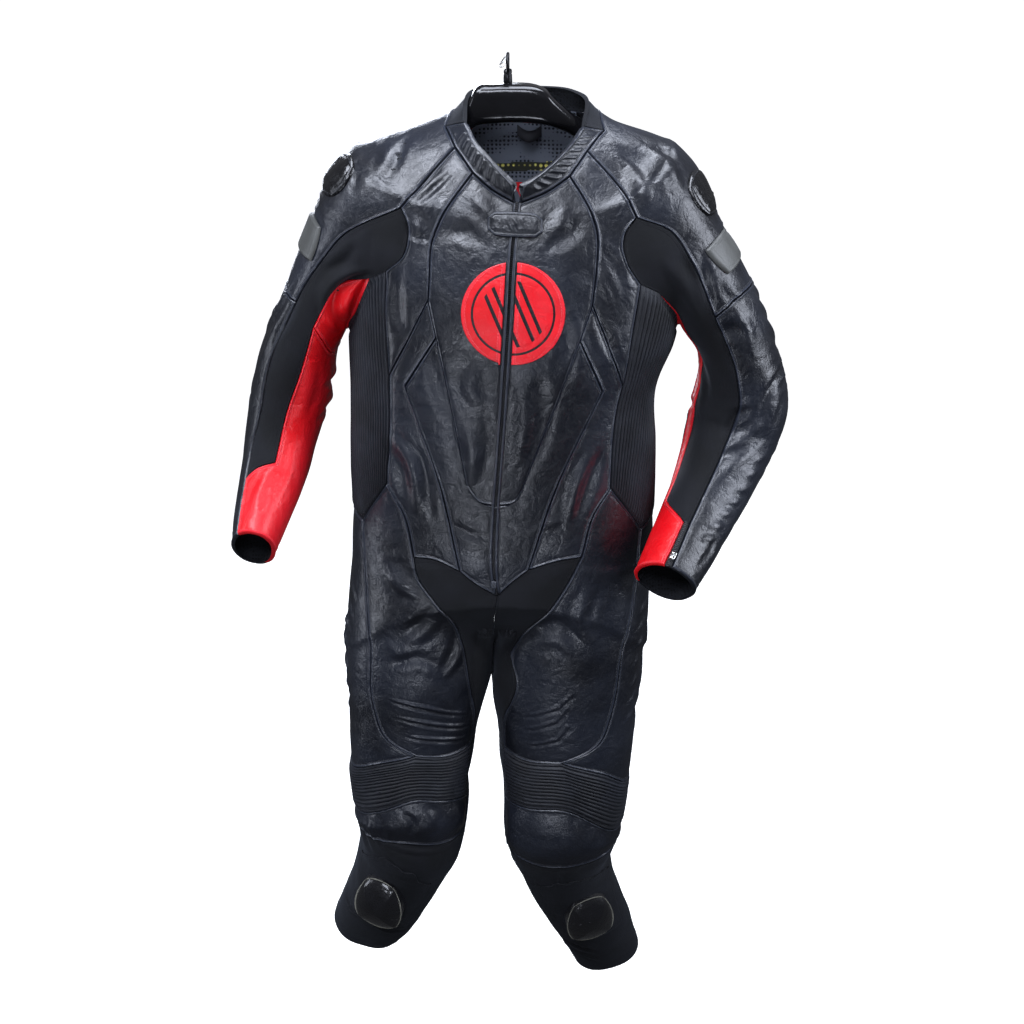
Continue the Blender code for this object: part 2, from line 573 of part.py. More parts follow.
def body_seams(side):
    """Seams of the neck, armpit and hip."""
    one = (side,)
    spots = CORNERS[side]
    seams = {name: seam(FRONT_STEPS[name], [front(x, z) for x, z in points])
             for name, points in FRONT[side].items()}
    rear = back(*spots["rear_arm"])
    hip_rear = back(*spots["hip_rear"])
    hip_back = back(BACK_CENTRE_X, HIP_BACK_Z)
    end, under, armpit, under_back = settle(np.array([spots["stretch_end"], spots["under"],
                                                      spots["armpit"], spots["under_back"]]), one)
    neck_side, neck_back, neck_middle = settle(np.array([spots["neck_side"], spots["neck_back"], NECK_BACK]))
    hip_side = settle(np.array([spots["hip_side"]]))[0]
    shoulder_blade = back(neck_back[0] + 0.045 * OUT[side], -0.135)
    seams["neck_to_side"] = seam(2, [seams["collar"][-1], neck_side])
    seams["neck_to_back"] = seam(4, [neck_side, neck_back])
    seams["neck_back"] = seam(4, [neck_back, neck_middle])
    seams["raglan_back"] = seam(4, [neck_back, shoulder_blade, rear])
    seams["stretch_end"] = seam(1, [seams["disc"][-1], end], one)
    seams["under_front"] = seam(4, [end, under, armpit], one)
    seams["under_back"] = seam(4, [armpit, under_back, rear], one)
    seams["rib_edge_back"] = seam(6, [rear, back(rear[0] * 0.97, -0.42), hip_rear])
    seams["hip_to_side"] = seam(4, [seams["hip"][0], hip_side])
    seams["hip_to_rear"] = seam(5, [hip_side, hip_rear])
    seams["hip_back"] = seam(4, [hip_rear, hip_back])
    seams["neck_slot"] = shortened(seams["neck"], ZIP_HALF)
    seams["belly_slot"] = shortened(seams["belly_end"][::-1], ZIP_HALF)[::-1]
    seams["waist_slot"] = shortened(seams["waist_end"][::-1], ZIP_HALF)[::-1]
    shift = OUT[side] * ZIP_HALF
    for name, steps, line, first, last in (
            ("zip_edge", 14, ZIP_LINE, seams["neck_slot"][0], seams["belly_slot"][-1]),
            ("zip_edge_low", 2, ZIP_LINE_LOW, seams["belly_slot"][-1], seams["waist_slot"][-1])):
        middle = [front(x + shift, z) for x, z in line[1:-1]]
        seams[name] = seam(steps, [first] + middle + [last])
    return seams


def sleeve_seams(side, seams):
    limb = ("sleeve", side)
    starts = dict(outer_top=seams["disc"][0], inner_top=seams["under_front"][0],
                  rear_top=seams["under_back"][-1])
    for name, pairs in SLEEVE_SEAMS[side].items():
        path = list(settle(np.array(limb_path(limb, pairs)), (side,)))
        if name in starts:
            path.insert(0, starts[name])
        steps = 2 if name == "jog" and side == "left" else SLEEVE_STEPS[name]
        seams[name] = seam(steps, path, (side,))
    extra = dict(SLEEVE_RINGS[side], **(GUSSET if side == "left" else {}))
    for name, (steps, pairs) in extra.items():
        seams[name] = limb_seam(limb, steps, pairs)


def leg_seams(side, seams):
    limb = ("leg", side)
    paths = {name: limb_path(limb, pairs) for name, pairs in LEG_SEAMS[side].items()}
    edge = [front(x, z) for x, z in CROTCH_EDGE[side]]
    paths["side"].insert(0, seams["hip_to_side"][-1])
    paths["rear"].insert(0, seams["hip_to_rear"][-1])
    low = between_legs(CROTCH_LOW)
    for name, steps in LEG_STEPS.items():
        path = paths[name]
        fixed = 1 if name in ("side", "rear") else 0
        path = path[:fixed] + list(settle(np.array(path[fixed:]), (side,)))
        seams[name] = seam(steps, path, (side,))
    inner = list(settle(np.array(paths["inner"]), (side,)))
    seams["crotch_edge"] = seam(9, edge + inner, (side,))
    ahead = [between_legs(degrees) for degrees in (30, 55, 75)]
    behind = [between_legs(degrees) for degrees in (165, 140, 115)]
    seams["crotch_middle"] = seam(4, [seams["waist_end"][-1]] + ahead + [low])
    seams["seat_middle"] = seam(6, [seams["hip_back"][-1]] + behind + [low])
    thigh_in = settle(np.array(limb_path(limb, [(0.20, 262), (0.25, 250)])), (side,))
    seams["inside_leg"] = seam(5, [low, *thigh_in, seams["knee_inside"][0]], (side,))
    seams["ribs_inner"] = seam(2, [seams["knee_front"][0], seams["ribs_low"][0]], (side,))
    seams["ribs_outer"] = seam(2, [seams["knee_side"][-1], seams["ribs_low"][-1]], (side,))
    seams["cup_inner"] = seam(2, [seams["ribs_low"][0], seams["cup_low"][0]], (side,))
    seams["cup_outer"] = seam(2, [seams["ribs_low"][-1], seams["cup_low"][-1]], (side,))
    for name, degrees, start, end in (("shin_inner", -80, "cup_low", seams["hem"][0]),
                                      ("shin_outer", 124, "cup_low", seams["hem"][-1])):
        first = seams[start][0 if degrees < 0 else -1]
        along = STATIONS[limb]["length"] * np.array([0.68, 0.82])
        middle = settle(on_limb(limb, along, np.full(2, degrees)), (side,))
        seams[name] = seam(6, [first, *middle, end], (side,))


# ---------------------------------------------------------------- grids

def fill(top, bottom, left, right):
    """Points between four sides of a patch."""
    u = np.linspace(0, 1, len(top))[None, :, None]
    v = np.linspace(0, 1, len(left))[:, None, None]
    rows = (1 - v) * top[None] + v * bottom[None]
    columns = (1 - u) * left[:, None] + u * right[:, None]
    upper = (1 - u) * top[0] + u * top[-1]
    lower = (1 - u) * bottom[0] + u * bottom[-1]
    corners = (1 - v) * upper + v * lower
    return rows + columns - corners


def relax(grid, sides, rounds=4):
    """Put the inner points of a grid on the form and even them out."""
    if min(grid.shape[:2]) < 3:
        return grid
    grid[1:-1, 1:-1] = settle(grid[1:-1, 1:-1], sides)
    for _ in range(rounds):
        around = grid[:-2, 1:-1] + grid[2:, 1:-1] + grid[1:-1, :-2] + grid[1:-1, 2:]
        grid[1:-1, 1:-1] = settle((grid[1:-1, 1:-1] + around / 4) / 2, sides, rounds=3)
    return grid


def body_grid(top, bottom, left, right, sides, guides=(), rounds=4):
    """Patch on the trunk: filled in strips between guide curves given as (column, points)."""
    strips = []
    stops = [(0, left)]
    for column, points in guides:
        path = [top[column], *points, bottom[column]]
        stops.append((column, seam(len(left) - 1, path, sides)))
    stops.append((len(top) - 1, right))
    for (first, start), (last, end) in zip(stops[:-1], stops[1:]):
        strip = fill(top[first:last + 1], bottom[first:last + 1], start, end)
        strips.append(strip if first == 0 else strip[:, 1:])
    return relax(np.concatenate(strips, 1), sides, rounds)


def limb_grid(limb, middle, top, bottom, left, right):
    """Patch that wraps a limb: filled in the limb's own distance and angle."""
    flat = []
    for curve in (top, bottom, left, right):
        flat.append(np.stack(limb_coordinates(limb, curve, middle), 1))
    inner = fill(*flat)[1:-1, 1:-1].reshape(-1, 2)
    grid = fill(top, bottom, left, right)
    grid[1:-1, 1:-1] = on_limb(limb, inner[:, 0], inner[:, 1]).reshape(len(left) - 2, len(top) - 2, 3)
    return relax(grid, (limb[1],), rounds=1)


def refined(grid, across, down, sides):
    """A finer grid whose edges stay on the straight steps of the coarse one."""
    rows = np.stack([divided(row, across) for row in grid])
    fine = np.stack([divided(column, down) for column in rows.transpose(1, 0, 2)]).transpose(1, 0, 2)
    fine[1:-1, 1:-1] = settle(fine[1:-1, 1:-1], sides)
    return fine


# ---------------------------------------------------------------- solids

def make_material(name, color, roughness, metallic=0.0):
    material = bpy.data.materials.new(name)
    material.use_nodes = True
    shader = material.node_tree.nodes["Principled BSDF"]
    shader.inputs["Base Color"].default_value = (*color, 1)
    shader.inputs["Roughness"].default_value = roughness
    shader.inputs["Metallic"].default_value = metallic
    return material


def add_object(name, vertices, faces, material):
    mesh = bpy.data.meshes.new(name)
    mesh.from_pydata([tuple(v) for v in vertices], [], faces)
    shape = bmesh.new()
    shape.from_mesh(mesh)
    bmesh.ops.remove_doubles(shape, verts=shape.verts, dist=2e-5)
    bmesh.ops.triangulate(shape, faces=shape.faces, quad_method="SHORT_EDGE")
    bmesh.ops.recalc_face_normals(shape, faces=shape.faces)
    shape.to_mesh(mesh)
    shape.free()
    mesh.shade_smooth()
    mesh.set_sharp_from_angle(angle=math.radians(40))
    mesh.materials.append(MATERIALS[material])
    part = bpy.data.objects.new(name, mesh)
    bpy.context.collection.objects.link(part)
    return part


def weld(grids):
    """Points and four-sided faces of several grids, sharing the points they have in common."""
    points, index, faces = [], {}, []
    for grid in grids:
        ids = np.zeros(grid.shape[:2], int)
        for row, column in np.ndindex(ids.shape):
            key = tuple(np.round(grid[row, column] * 5e4).astype(int))
            if key not in index:
                index[key] = len(points)
                points.append(grid[row, column])
            ids[row, column] = index[key]
        for row, column in np.ndindex(ids.shape[0] - 1, ids.shape[1] - 1):
            face = [ids[row, column], ids[row, column + 1], ids[row + 1, column + 1], ids[row + 1, column]]
            face = [v for i, v in enumerate(face) if v != face[i - 1]]
            faces.append(face)
    return np.array(points), faces


def outline(faces):
    """Directed edges that belong to one face only."""
    edges = {(face[i - 1], v) for face in faces for i, v in enumerate(face)}
    return [edge for edge in edges if edge[::-1] not in edges]


def inset(points, normals, faces, by):
    """Move the outline's points into the panel, to leave the gap of a seam."""
    edges = outline(faces)
    inward = {}
    for a, b in edges:
        across = unit(np.cross(normals[a] + normals[b], points[b] - points[a]))
        inward.setdefault(a, []).append(across)
        inward.setdefault(b, []).append(across)
    moved = points.copy()
    for v, ways in inward.items():
        both = ways[0] + ways[-1]
        moved[v] += by * both / max(0.5, 1 + ways[0] @ ways[-1])
    return moved, edges


def wall(name, points, faces, normals, thickness, material, raised=None):
    """A closed wall: outer points on the form, inner points a thickness below them."""
    facing = 0.0
    for a, b, c in (face[:3] for face in faces):
        facing += np.cross(points[b] - points[a], points[c] - points[a]) @ normals[a]
    if facing < 0:
        faces = [face[::-1] for face in faces]
    moved, edges = inset(points, normals, faces, GAP / 2)
    outer = moved + (0 if raised is None else raised[:, None]) * normals
    inner = moved - thickness * normals
    count = len(points)
    under = [[v + count for v in face[::-1]] for face in faces]
    sides = []
    for a, b in edges:
        if tuple(points[a].round(5)) < tuple(points[b].round(5)):
            sides += [[b, a, b + count], [a, a + count, b + count]]
        else:
            sides += [[b, a, a + count], [b, a + count, b + count]]
    return add_object(name, np.concatenate([outer, inner]), faces + under + sides, material)


def panel(name, grids, sides, thickness, material, raised=None):
    points, faces = weld(grids)
    normals = unit(form_slope(points, sides))
    heights = None if raised is None else raised.reshape(-1)
    return wall(name, points, faces, normals, thickness, material, heights)


# ---------------------------------------------------------------- trunk panels

def add_front_panels(side, seams):
    one = (side,)
    names = ("neck_slot", "belly_slot", "zip_edge", "bust", "bust_low", "belly", "collar", "chest_hem",
             "yoke", "disc", "rib_edge", "rib_edge_low", "hip", "waist", "chevron", "chevron_low", "zip_edge_low",
             "waist_slot")
    (neck, belly_end, zip_edge, bust, bust_low, belly, collar, chest_hem, yoke,
     disc, rib_edge, rib_edge_low, hip, waist, chevron, chevron_low, zip_low, waist_end) = map(seams.get, names)
    front_grid = body_grid(neck, belly_end[::-1], zip_edge, joined(bust, bust_low, belly), one)
    panel(f"front_{side}", [front_grid], one, LEATHER, "leather")
    chest_grid = body_grid(collar, chest_hem, bust, joined(yoke, disc, rib_edge), one)
    panel(f"chest_{side}", [chest_grid], one, LEATHER, "leather")
    flank_grid = body_grid(bust_low, waist, joined(chest_hem, rib_edge_low, hip),
                           joined(chevron, chevron_low), one)
    panel(f"flank_{side}", [flank_grid], one, LEATHER, "leather")
    point = np.repeat(chevron[:1], 3, axis=0)
    belly_grid = body_grid(point, waist_end, joined(chevron, chevron_low), joined(belly, belly_end, zip_low), one)
    panel(f"belly_{side}", [belly_grid], one, LEATHER, "leather")


def add_side_ribs(side, seams):
    """Accordion stretch panel from under the arm to the hip, with ribs that run down."""
    one = (side,)
    top = joined(seams["stretch_end"], seams["under_front"], seams["under_back"])
    bottom = joined(seams["hip_to_side"], seams["hip_to_rear"])
    edge = TRUNK["right" if side == "right" else "left"]
    levels = [(-0.42, 0), (-0.52, 0)]
    guide = [(np.interp(-z, -TRUNK["height"], edge), y, z) for z, y in levels]
    grid = body_grid(top, bottom, joined(seams["rib_edge"], seams["rib_edge_low"]), seams["rib_edge_back"],
                     (), [(5, guide)])
    grid = refined(grid, 2 * RIBS_PER_STEP, 1, ())
    raised = np.zeros(grid.shape[:2])
    raised[:, 1::2] = RIB_HEIGHT
    raised[:2] = 0
    panel(f"side_ribs_{side}", [grid], one, STRETCH, "stretch", raised)


def add_back(right, left):
    both = ("right", "left")
    top = joined(right["neck_back"], left["neck_back"][::-1])
    bottom = joined(right["hip_back"], left["hip_back"][::-1])
    middle = [back(0.012, -0.20), back(0.000, -0.45)]
    grid = body_grid(top, bottom, joined(right["raglan_back"], right["rib_edge_back"]),
                     joined(left["raglan_back"], left["rib_edge_back"]), both, [(4, middle)])
    panel("back", [grid], both, LEATHER, "leather")


def add_zip(right, left):
    both = ("right", "left")
    edges = [joined(seams["zip_edge"], seams["zip_edge_low"]) for seams in (right, left)]
    panel("front_zip", [np.stack(edges, 1)], both, STRETCH, "zip_tape")


# ---------------------------------------------------------------- sleeves

def add_sleeve(side, seams):
    one, limb = (side,), ("sleeve", side)
    neck = joined(seams["neck_to_side"], seams["neck_to_back"])
    front_edge = joined(seams["yoke"], seams["outer_top"])
    back_edge = joined(seams["raglan_back"], seams["rear_top"])
    over = limb_path(limb, [(0.060, 62), (0.130, 72)])
    behind = limb_path(limb, [(0.060, 125), (0.130, 140)])
    shoulder = body_grid(neck, seams["cross"], front_edge, back_edge, one, [(2, over), (4, behind)])
    panel(f"shoulder_{side}", [shoulder], one, LEATHER, "leather")
    outer = 130 if side == "right" else 95
    forearm = limb_grid(limb, outer, seams["cross"], seams["cuff"],
                        joined(seams["outer_mid"], seams["outer_cuff"]),
                        joined(seams["rear_mid"], seams["rear_low"], seams["rear_cuff"]))
    panel(f"forearm_{side}", [forearm], one, LEATHER, "leather")
    stretch_low = seams["jog"] if side == "right" else joined(seams["gusset_top"], seams["jog"])
    stretch = body_grid(seams["disc"], stretch_low, joined(seams["outer_top"], seams["outer_mid"]),
                        joined(seams["stretch_end"], seams["inner_top"], seams["inner_mid"]), one, rounds=1)
    panel(f"sleeve_stretch_{side}", [stretch], one, STRETCH, "stretch")
    under = joined(seams["under_front"], seams["under_back"])
    underarm = body_grid(under, seams["red_cross"], seams["inner_top"],
                         joined(seams["rear_top"], seams["rear_mid"]), limb)
    panel(f"underarm_{side}", [underarm], one, LEATHER, "red_leather")
    inner = -75 if side == "right" else -110
    upper = limb_grid(limb, inner, seams["red_cross"], seams["ring"], seams["inner_mid"], seams["rear_low"])
    edge = seams["outer_cuff"] if side == "right" else seams["gusset_edge"]
    lower = limb_grid(limb, inner, joined(seams["jog"], seams["ring"]), seams["cuff_red"], edge,
                      seams["rear_cuff"])
    panel(f"inner_sleeve_{side}", [upper, lower], one, LEATHER, "red_leather")
    if side == "left":
        gusset = body_grid(seams["gusset_top"], seams["gusset_low"], seams["outer_cuff"], seams["gusset_edge"], one)
        panel("cuff_gusset_left", [gusset], one, STRETCH, "zip_tape")


# ---------------------------------------------------------------- legs

def add_leg(side, seams):
    one, limb = (side,), ("leg", side)
    inside = joined(seams["crotch_middle"], seams["inside_leg"])
    knee_top = joined(seams["knee_front"], seams["knee_side"])
    thigh = body_grid(seams["hip_to_side"], seams["knee_front"], joined(seams["hip"], seams["crotch_edge"]),
                      seams["side"], one)
    panel(f"thigh_front_{side}", [thigh], one, LEATHER, "leather")
    crotch = body_grid(joined(seams["waist"], seams["waist_end"]), seams["knee_inside"][::-1],
                       seams["crotch_edge"], inside, one)
    panel(f"crotch_stretch_{side}", [crotch], one, STRETCH, "stretch")
    outer = body_grid(seams["hip_to_rear"], seams["knee_side"], seams["side"], seams["rear"], one)
    panel(f"thigh_side_{side}", [outer], one, LEATHER, "leather")
    seat = body_grid(seams["hip_back"], seams["knee_back"], seams["rear"],
                     joined(seams["seat_middle"], seams["inside_leg"]), one)
    panel(f"seat_{side}", [seat], one, LEATHER, "leather")
    ribs = limb_grid(limb, 22, knee_top, seams["ribs_low"], seams["ribs_inner"], seams["ribs_outer"])
    ribs = refined(ribs, 1, 2 * KNEE_RIBS_PER_STEP, one)
    raised = np.zeros(ribs.shape[:2])
    raised[1::2] = RIB_HEIGHT
    panel(f"knee_ribs_{side}", [ribs], one, STRETCH, "stretch", raised)
    cup = limb_grid(limb, 22, seams["ribs_low"], seams["cup_low"], seams["cup_inner"], seams["cup_outer"])
    panel(f"knee_cup_{side}", [cup], one, LEATHER, "leather")
    shin = limb_grid(limb, 22, seams["cup_low"], seams["hem"], seams["shin_inner"], seams["shin_outer"])
    panel(f"shin_{side}", [shin], one, STRETCH, "stretch")
    calf = limb_grid(limb, 202, joined(seams["knee_back"], seams["knee_inside"]), seams["hem_back"],
                     joined(seams["ribs_outer"], seams["cup_outer"], seams["shin_outer"]),
                     joined(seams["ribs_inner"], seams["cup_inner"], seams["shin_inner"]))
    panel(f"calf_{side}", [calf], one, STRETCH, "stretch")


# ---------------------------------------------------------------- collar

def add_collar(right, left):
    """Leather bands in front and a stretch band behind, standing on the neckline."""
    low, high = [], []
    for side, seams in (("right", right), ("left", left)):
        base = joined(seams["neck_slot"], seams["collar"], seams["neck_to_side"])
        base_back = joined(seams["neck_to_back"], seams["neck_back"])
        low.append(joined(base, base_back))
        high.append(joined(spaced(smooth_path(COLLAR_TOP[side]), len(base) - 1),
                           spaced(smooth_path(COLLAR_TOP_BACK[side]), len(base_back) - 1)))
    low = joined(low[0], low[1][::-1])
    high = joined(high[0], high[1][::-1])
    grid = np.stack([high, (high + low) / 2, low])
    normals = unit(np.cross(np.gradient(grid, axis=1), np.gradient(grid, axis=0)))
    normals[2] = unit(form_slope(low, ("right", "left")))
    normals[1] = unit(normals[0] + normals[2])
    front_end = len(base) - 1
    back_end = len(low) - 1 - front_end
    for name, first, last, thickness, material in (
            ("collar_right", 0, front_end, LEATHER, "leather"),
            ("collar_back", front_end, back_end, STRETCH, "stretch"),
            ("collar_left", back_end, len(low) - 1, LEATHER, "leather")):
        points, faces = weld([grid[:, first:last + 1]])
        wall(name, points, faces, normals[:, first:last + 1].reshape(-1, 3), thickness, material)


# ---------------------------------------------------------------- pieces laid on the panels

def outside(names):
    """Search trees of built pieces."""
    meshes = [bpy.data.objects[name].data for name in names]
    return [BVHTree.FromPolygons([v.co for v in mesh.vertices], [f.vertices for f in mesh.polygons],
                                 all_triangles=True) for mesh in meshes]


def cast(points, direction, trees, start=0.03):
    """First points of built pieces met by rays that start before the points; missed ones stay."""
    hits = points.reshape(-1, 3).copy()
    for i, point in enumerate(hits):
        origin = Vector(point - start * direction)
        found = [tree.ray_cast(origin, Vector(direction)) for tree in trees]
        found = [hit for hit in found if hit[0] is not None]
        if found:
            hits[i] = min(found, key=lambda hit: hit[3])[0]
    return hits.reshape(points.shape)


def spread(values, parts):
    """Values of a grid on a grid with each cell cut into equal parts both ways."""
    rows = np.stack([divided(row, parts) for row in values])
    return np.stack([divided(column, parts) for column in rows.transpose(1, 0, 2)]).transpose(1, 0, 2)


def seated(points, outward, bases, lift, parts=4):
    """Grid points moved onto the cloth, each high enough that no facet around it cuts in."""
    trees = outside(bases)
    fine = spread(points, parts)
    ways = unit(spread(np.broadcast_to(outward, points.shape), parts))
    hits = np.array([cast(p[None], -way, trees)[0] for p, way in zip(fine.reshape(-1, 3), ways.reshape(-1, 3))])
    heights = ((hits.reshape(fine.shape) - fine) * ways).sum(2)
    nodes = heights[::parts, ::parts]
    short = heights - spread(nodes[..., None], parts)[..., 0]
    lifts = np.zeros(nodes.shape)
    for i, j in np.ndindex(*nodes.shape):
        around = short[max(0, parts * (i - 1) + 1):parts * (i + 1), max(0, parts * (j - 1) + 1):parts * (j + 1)]
        lifts[i, j] = around.max()
    return points + (nodes + lifts + lift)[..., None] * outward


def add_sheet(name, low, top, material):
    """A closed solid between two grids of points."""
    count = low[..., 0].size
    ids = np.arange(count).reshape(low.shape[:2])
    quads = [[ids[i, j], ids[i, j + 1], ids[i + 1, j + 1], ids[i + 1, j]]
             for i, j in np.ndindex(ids.shape[0] - 1, ids.shape[1] - 1)]
    under = [[v + count for v in face[::-1]] for face in quads]
    sides = [[b, a, a + count, b + count] for a, b in outline(quads)]
    return add_object(name, np.concatenate([top.reshape(-1, 3), low.reshape(-1, 3)]),
                      quads + under + sides, material)


def lay(name, points, outward, bases, heights, material, lift=SEAT):
    """A piece that follows the cloth below it, with a height at each point of its grid."""
    base = seated(points, outward, bases, lift)
    return add_sheet(name, base, base + heights[..., None] * outward, material)


def pad_plan(centre, across, down, half_across, half_down, steps, roundness):
    """Points of a rounded plan in a plane, and how far out each lies (0 middle, 1 edge)."""
    p, q = np.meshgrid(np.linspace(-1, 1, steps + 1), np.linspace(-1, 1, steps + 1))
    x = p * np.sqrt(1 - roundness * q**2 / 2)
    y = q * np.sqrt(1 - roundness * p**2 / 2)
    points = centre + half_across * x[..., None] * across + half_down * y[..., None] * down
    return points, np.maximum(np.abs(p), np.abs(q))


def limb_frame(side, kind, along, degrees, turn):
    """Point of a limb's surface with its outward, across and down directions, turned in the plane."""
    point = settle(on_limb((kind, side), along, degrees), (side,))
    outward = unit(form_slope(point, (side,)))[0]
    ahead = on_limb((kind, side), along + 0.02, degrees)[0] - on_limb((kind, side), along - 0.02, degrees)[0]
    down = unit(ahead - outward * (ahead @ outward))
    across = np.cross(outward, down)
    c, s = math.cos(math.radians(turn)), math.sin(math.radians(turn))
    return point[0], outward, c * across + s * down, c * down - s * across


def add_pad(name, frame, halves, steps, roundness, bases, edge, crown, material):
    """A domed pad whose top bends half as much as the cloth below it."""
    centre, outward, across, down = frame
    points, out = pad_plan(centre, across, down, *halves, steps, roundness)
    base = seated(points, outward, bases, PAD_SEAT)
    rise = (base - centre) @ outward
    heights = edge + (crown - edge) * np.sqrt(1 - out**2) + 0.5 * (rise.max() - rise)
    return add_sheet(name, base, base + heights[..., None] * outward, material)


def add_armour(side):
    """Cap on the shoulder, plate on the upper arm."""
    bases = [f"shoulder_{side}"]
    spots = ARMOUR[side]
    add_pad(f"shoulder_cap_{side}", limb_frame(side, "sleeve", *spots["cap"]), (0.034, 0.031), 6, 0.9,
            bases, 0.0015, 0.0060, "leather")
    add_pad(f"arm_plate_{side}", limb_frame(side, "sleeve", *spots["plate"]), (0.031, 0.024), 6, 0.35,
            bases, 0.0020, 0.0045, "grey_plastic")


def add_chest_patch(side):
    """Half of a round appliqué, beside the zip."""
    angles = np.radians(np.linspace(6, 174, 11))
    reach = PATCH_RADIUS * np.sin(angles)
    z = PATCH_CENTRE[1] + PATCH_RADIUS * np.cos(angles)
    near = 0.0085 * OUT[side] + np.interp(-z, [0.23, 0.334, 0.40], [0.006, 0.000, -0.004])
    far = near + OUT[side] * np.maximum(reach + OUT[side] * (PATCH_CENTRE[0] - near), 0.002)
    x = near[:, None] + (far - near)[:, None] * np.linspace(0, 1, 6)
    points = np.stack([x, np.full_like(x, -0.11), np.repeat(z[:, None], 6, 1)], 2)
    lay(f"chest_patch_{side}", points, PATCH_OUTWARD, [f"front_{side}"], np.full(x.shape, PATCH), "red_leather")


def add_closure():
    """Tab that closes the collar over the top of the zip, and the stop at the zip's foot."""
    u = np.array([-0.0355, -0.026, -0.013, 0.0, 0.013, 0.026, 0.0355])
    half = np.array([0.008, 0.0155, 0.016, 0.016, 0.016, 0.0155, 0.008])
    v = np.linspace(-1, 1, 4)
    x = TAB_CENTRE[0] + np.repeat(u[:, None], 4, 1)
    z = TAB_CENTRE[2] + half[:, None] * v - 0.05 * u[:, None]
    points = np.stack([x, np.full_like(x, TAB_CENTRE[1]), z], 2)
    outward = unit(form_slope(settle(np.array([TAB_CENTRE])), ("right", "left")))[0]
    lay("closure_tab", points, outward, ["front_right", "front_left", "front_zip"],
        np.full(x.shape, 0.0040), "leather")
    middle = front(*ZIP_STOP)
    outward = unit(form_slope(middle[None], ("right", "left")))[0]
    points, out = pad_plan(middle, np.array([1.0, 0, 0]), np.array([0, 0, -1.0]), 0.0045, 0.006, 2, 0.2)
    lay("zip_stop", points, outward, ["front_zip"], np.full(out.shape, 0.0018), "steel")


def add_knee_slider(side):
    """Hook-and-loop flap on the shin, with a plastic slider puck on it."""
    limb = ("leg", side)
    spots = SLIDER[side]
    degrees = np.linspace(-32, 62, 9)
    top = np.interp(degrees, spots["edge_degrees"], spots["edge"])
    along = top + (spots["low"] - top) * np.linspace(0, 1, 8)[:, None]
    degrees = degrees + (np.linspace(-1, 1, 9) * np.linspace(0, 1, 8)[:, None] ** 2) * -12
    points = settle(on_limb(limb, along.ravel(), degrees.ravel()), (side,))
    normals = unit(form_slope(points, (side,)))
    grid, normals = points.reshape(8, 9, 3), normals.reshape(8, 9, 3)
    lay(f"puck_base_{side}", grid, normals, [f"shin_{side}"], np.full(grid.shape[:2], FLAP), "stretch",
        PAD_SEAT)
    add_pad(f"puck_{side}", limb_frame(side, "leg", *spots["puck"]), (0.043, 0.056), 8, 0.85,
            [f"puck_base_{side}", f"shin_{side}"], 0.008, 0.026, "hard_plastic")


def add_neck_lining():
    """Mesh lining inside the back of the neck, with the loop sewn to it."""
    rows = np.linspace(0, 1, 7)
    z = -0.090 - 0.130 * rows
    right = -0.048 - 0.040 * rows
    left = 0.088 + 0.036 * rows
    x = right[:, None] + (left - right)[:, None] * np.linspace(0, 1, 9)
    points = np.stack([x, np.full_like(x, 0.06), np.repeat(z[:, None], 9, 1)], 2)
    inward = np.array([0.0, -1.0, 0.0])
    lay("neck_lining", points, inward, ["back"], np.full(x.shape, LINING), "mesh_fabric")
    u, v = np.meshgrid(np.linspace(-0.016, 0.016, 7), [-0.010, 0.010])
    points = np.stack([0.029 + u, np.full_like(u, 0.06), -0.116 + v], 2)
    base = seated(points, inward, ["neck_lining"], SEAT)
    low = base + 0.005 * np.cos(u / 0.016 * math.pi / 2)[..., None] * inward
    add_sheet("hang_loop", low, low + LINING * inward, "black_fabric")


def add_cuff_slider():
    """Slider of the left cuff's zip, and its pull tab, whose origin is on the tab's pivot."""
    centre, outward, across, down = limb_frame("left", "sleeve", *CUFF_SLIDER)
    points, out = pad_plan(centre, across, down, 0.0035, 0.006, 2, 0.2)
    lay("cuff_slider_left", points, outward, ["cuff_gusset_left"], np.full(out.shape, 0.0030), "steel")
    slider = bpy.data.objects["cuff_slider_left"].data
    top = max(Vector(outward).dot(v.co) for v in slider.vertices)
    pivot = centre + outward * (top - centre @ outward + 0.0012) + 0.002 * down
    add_tab("cuff_pull_left", pivot, (across, down, outward), (0.003, 0.0008), 0.022, "steel")


def add_tab(name, pivot, axes, half, reach, material):
    """A flat tab that hangs down from its pivot."""
    across, down, outward = axes
    corners = [(-1, -0.03), (1, -0.03), (1, 0.75), (0.6, 1), (-0.6, 1), (-1, 0.75)]
    ring = [half[0] * p * across + reach * q * down for p, q in corners]
    vertices = [v + half[1] * outward for v in ring] + [v - half[1] * outward for v in ring]
    count = len(ring)
    faces = [list(range(count)), list(range(2 * count - 1, count - 1, -1))]
    faces += [[(i + 1) % count, i, i + count, (i + 1) % count + count] for i in range(count)]
    tab = add_object(name, vertices, faces, material)
    tab.location = pivot
    return tab


# ---------------------------------------------------------------- hanger

def add_tube(name, rings, material):
    """A solid through closed rings of points, with flat ends."""
    count, around = rings.shape[:2]
    ids = np.arange(count * around).reshape(count, around)
    faces = [[ids[i, j], ids[i, (j + 1) % around], ids[i + 1, (j + 1) % around], ids[i + 1, j]]
             for i in range(count - 1) for j in range(around)]
    return add_object(name, rings.reshape(-1, 3), faces + [list(ids[0][::-1]), list(ids[-1])], material)


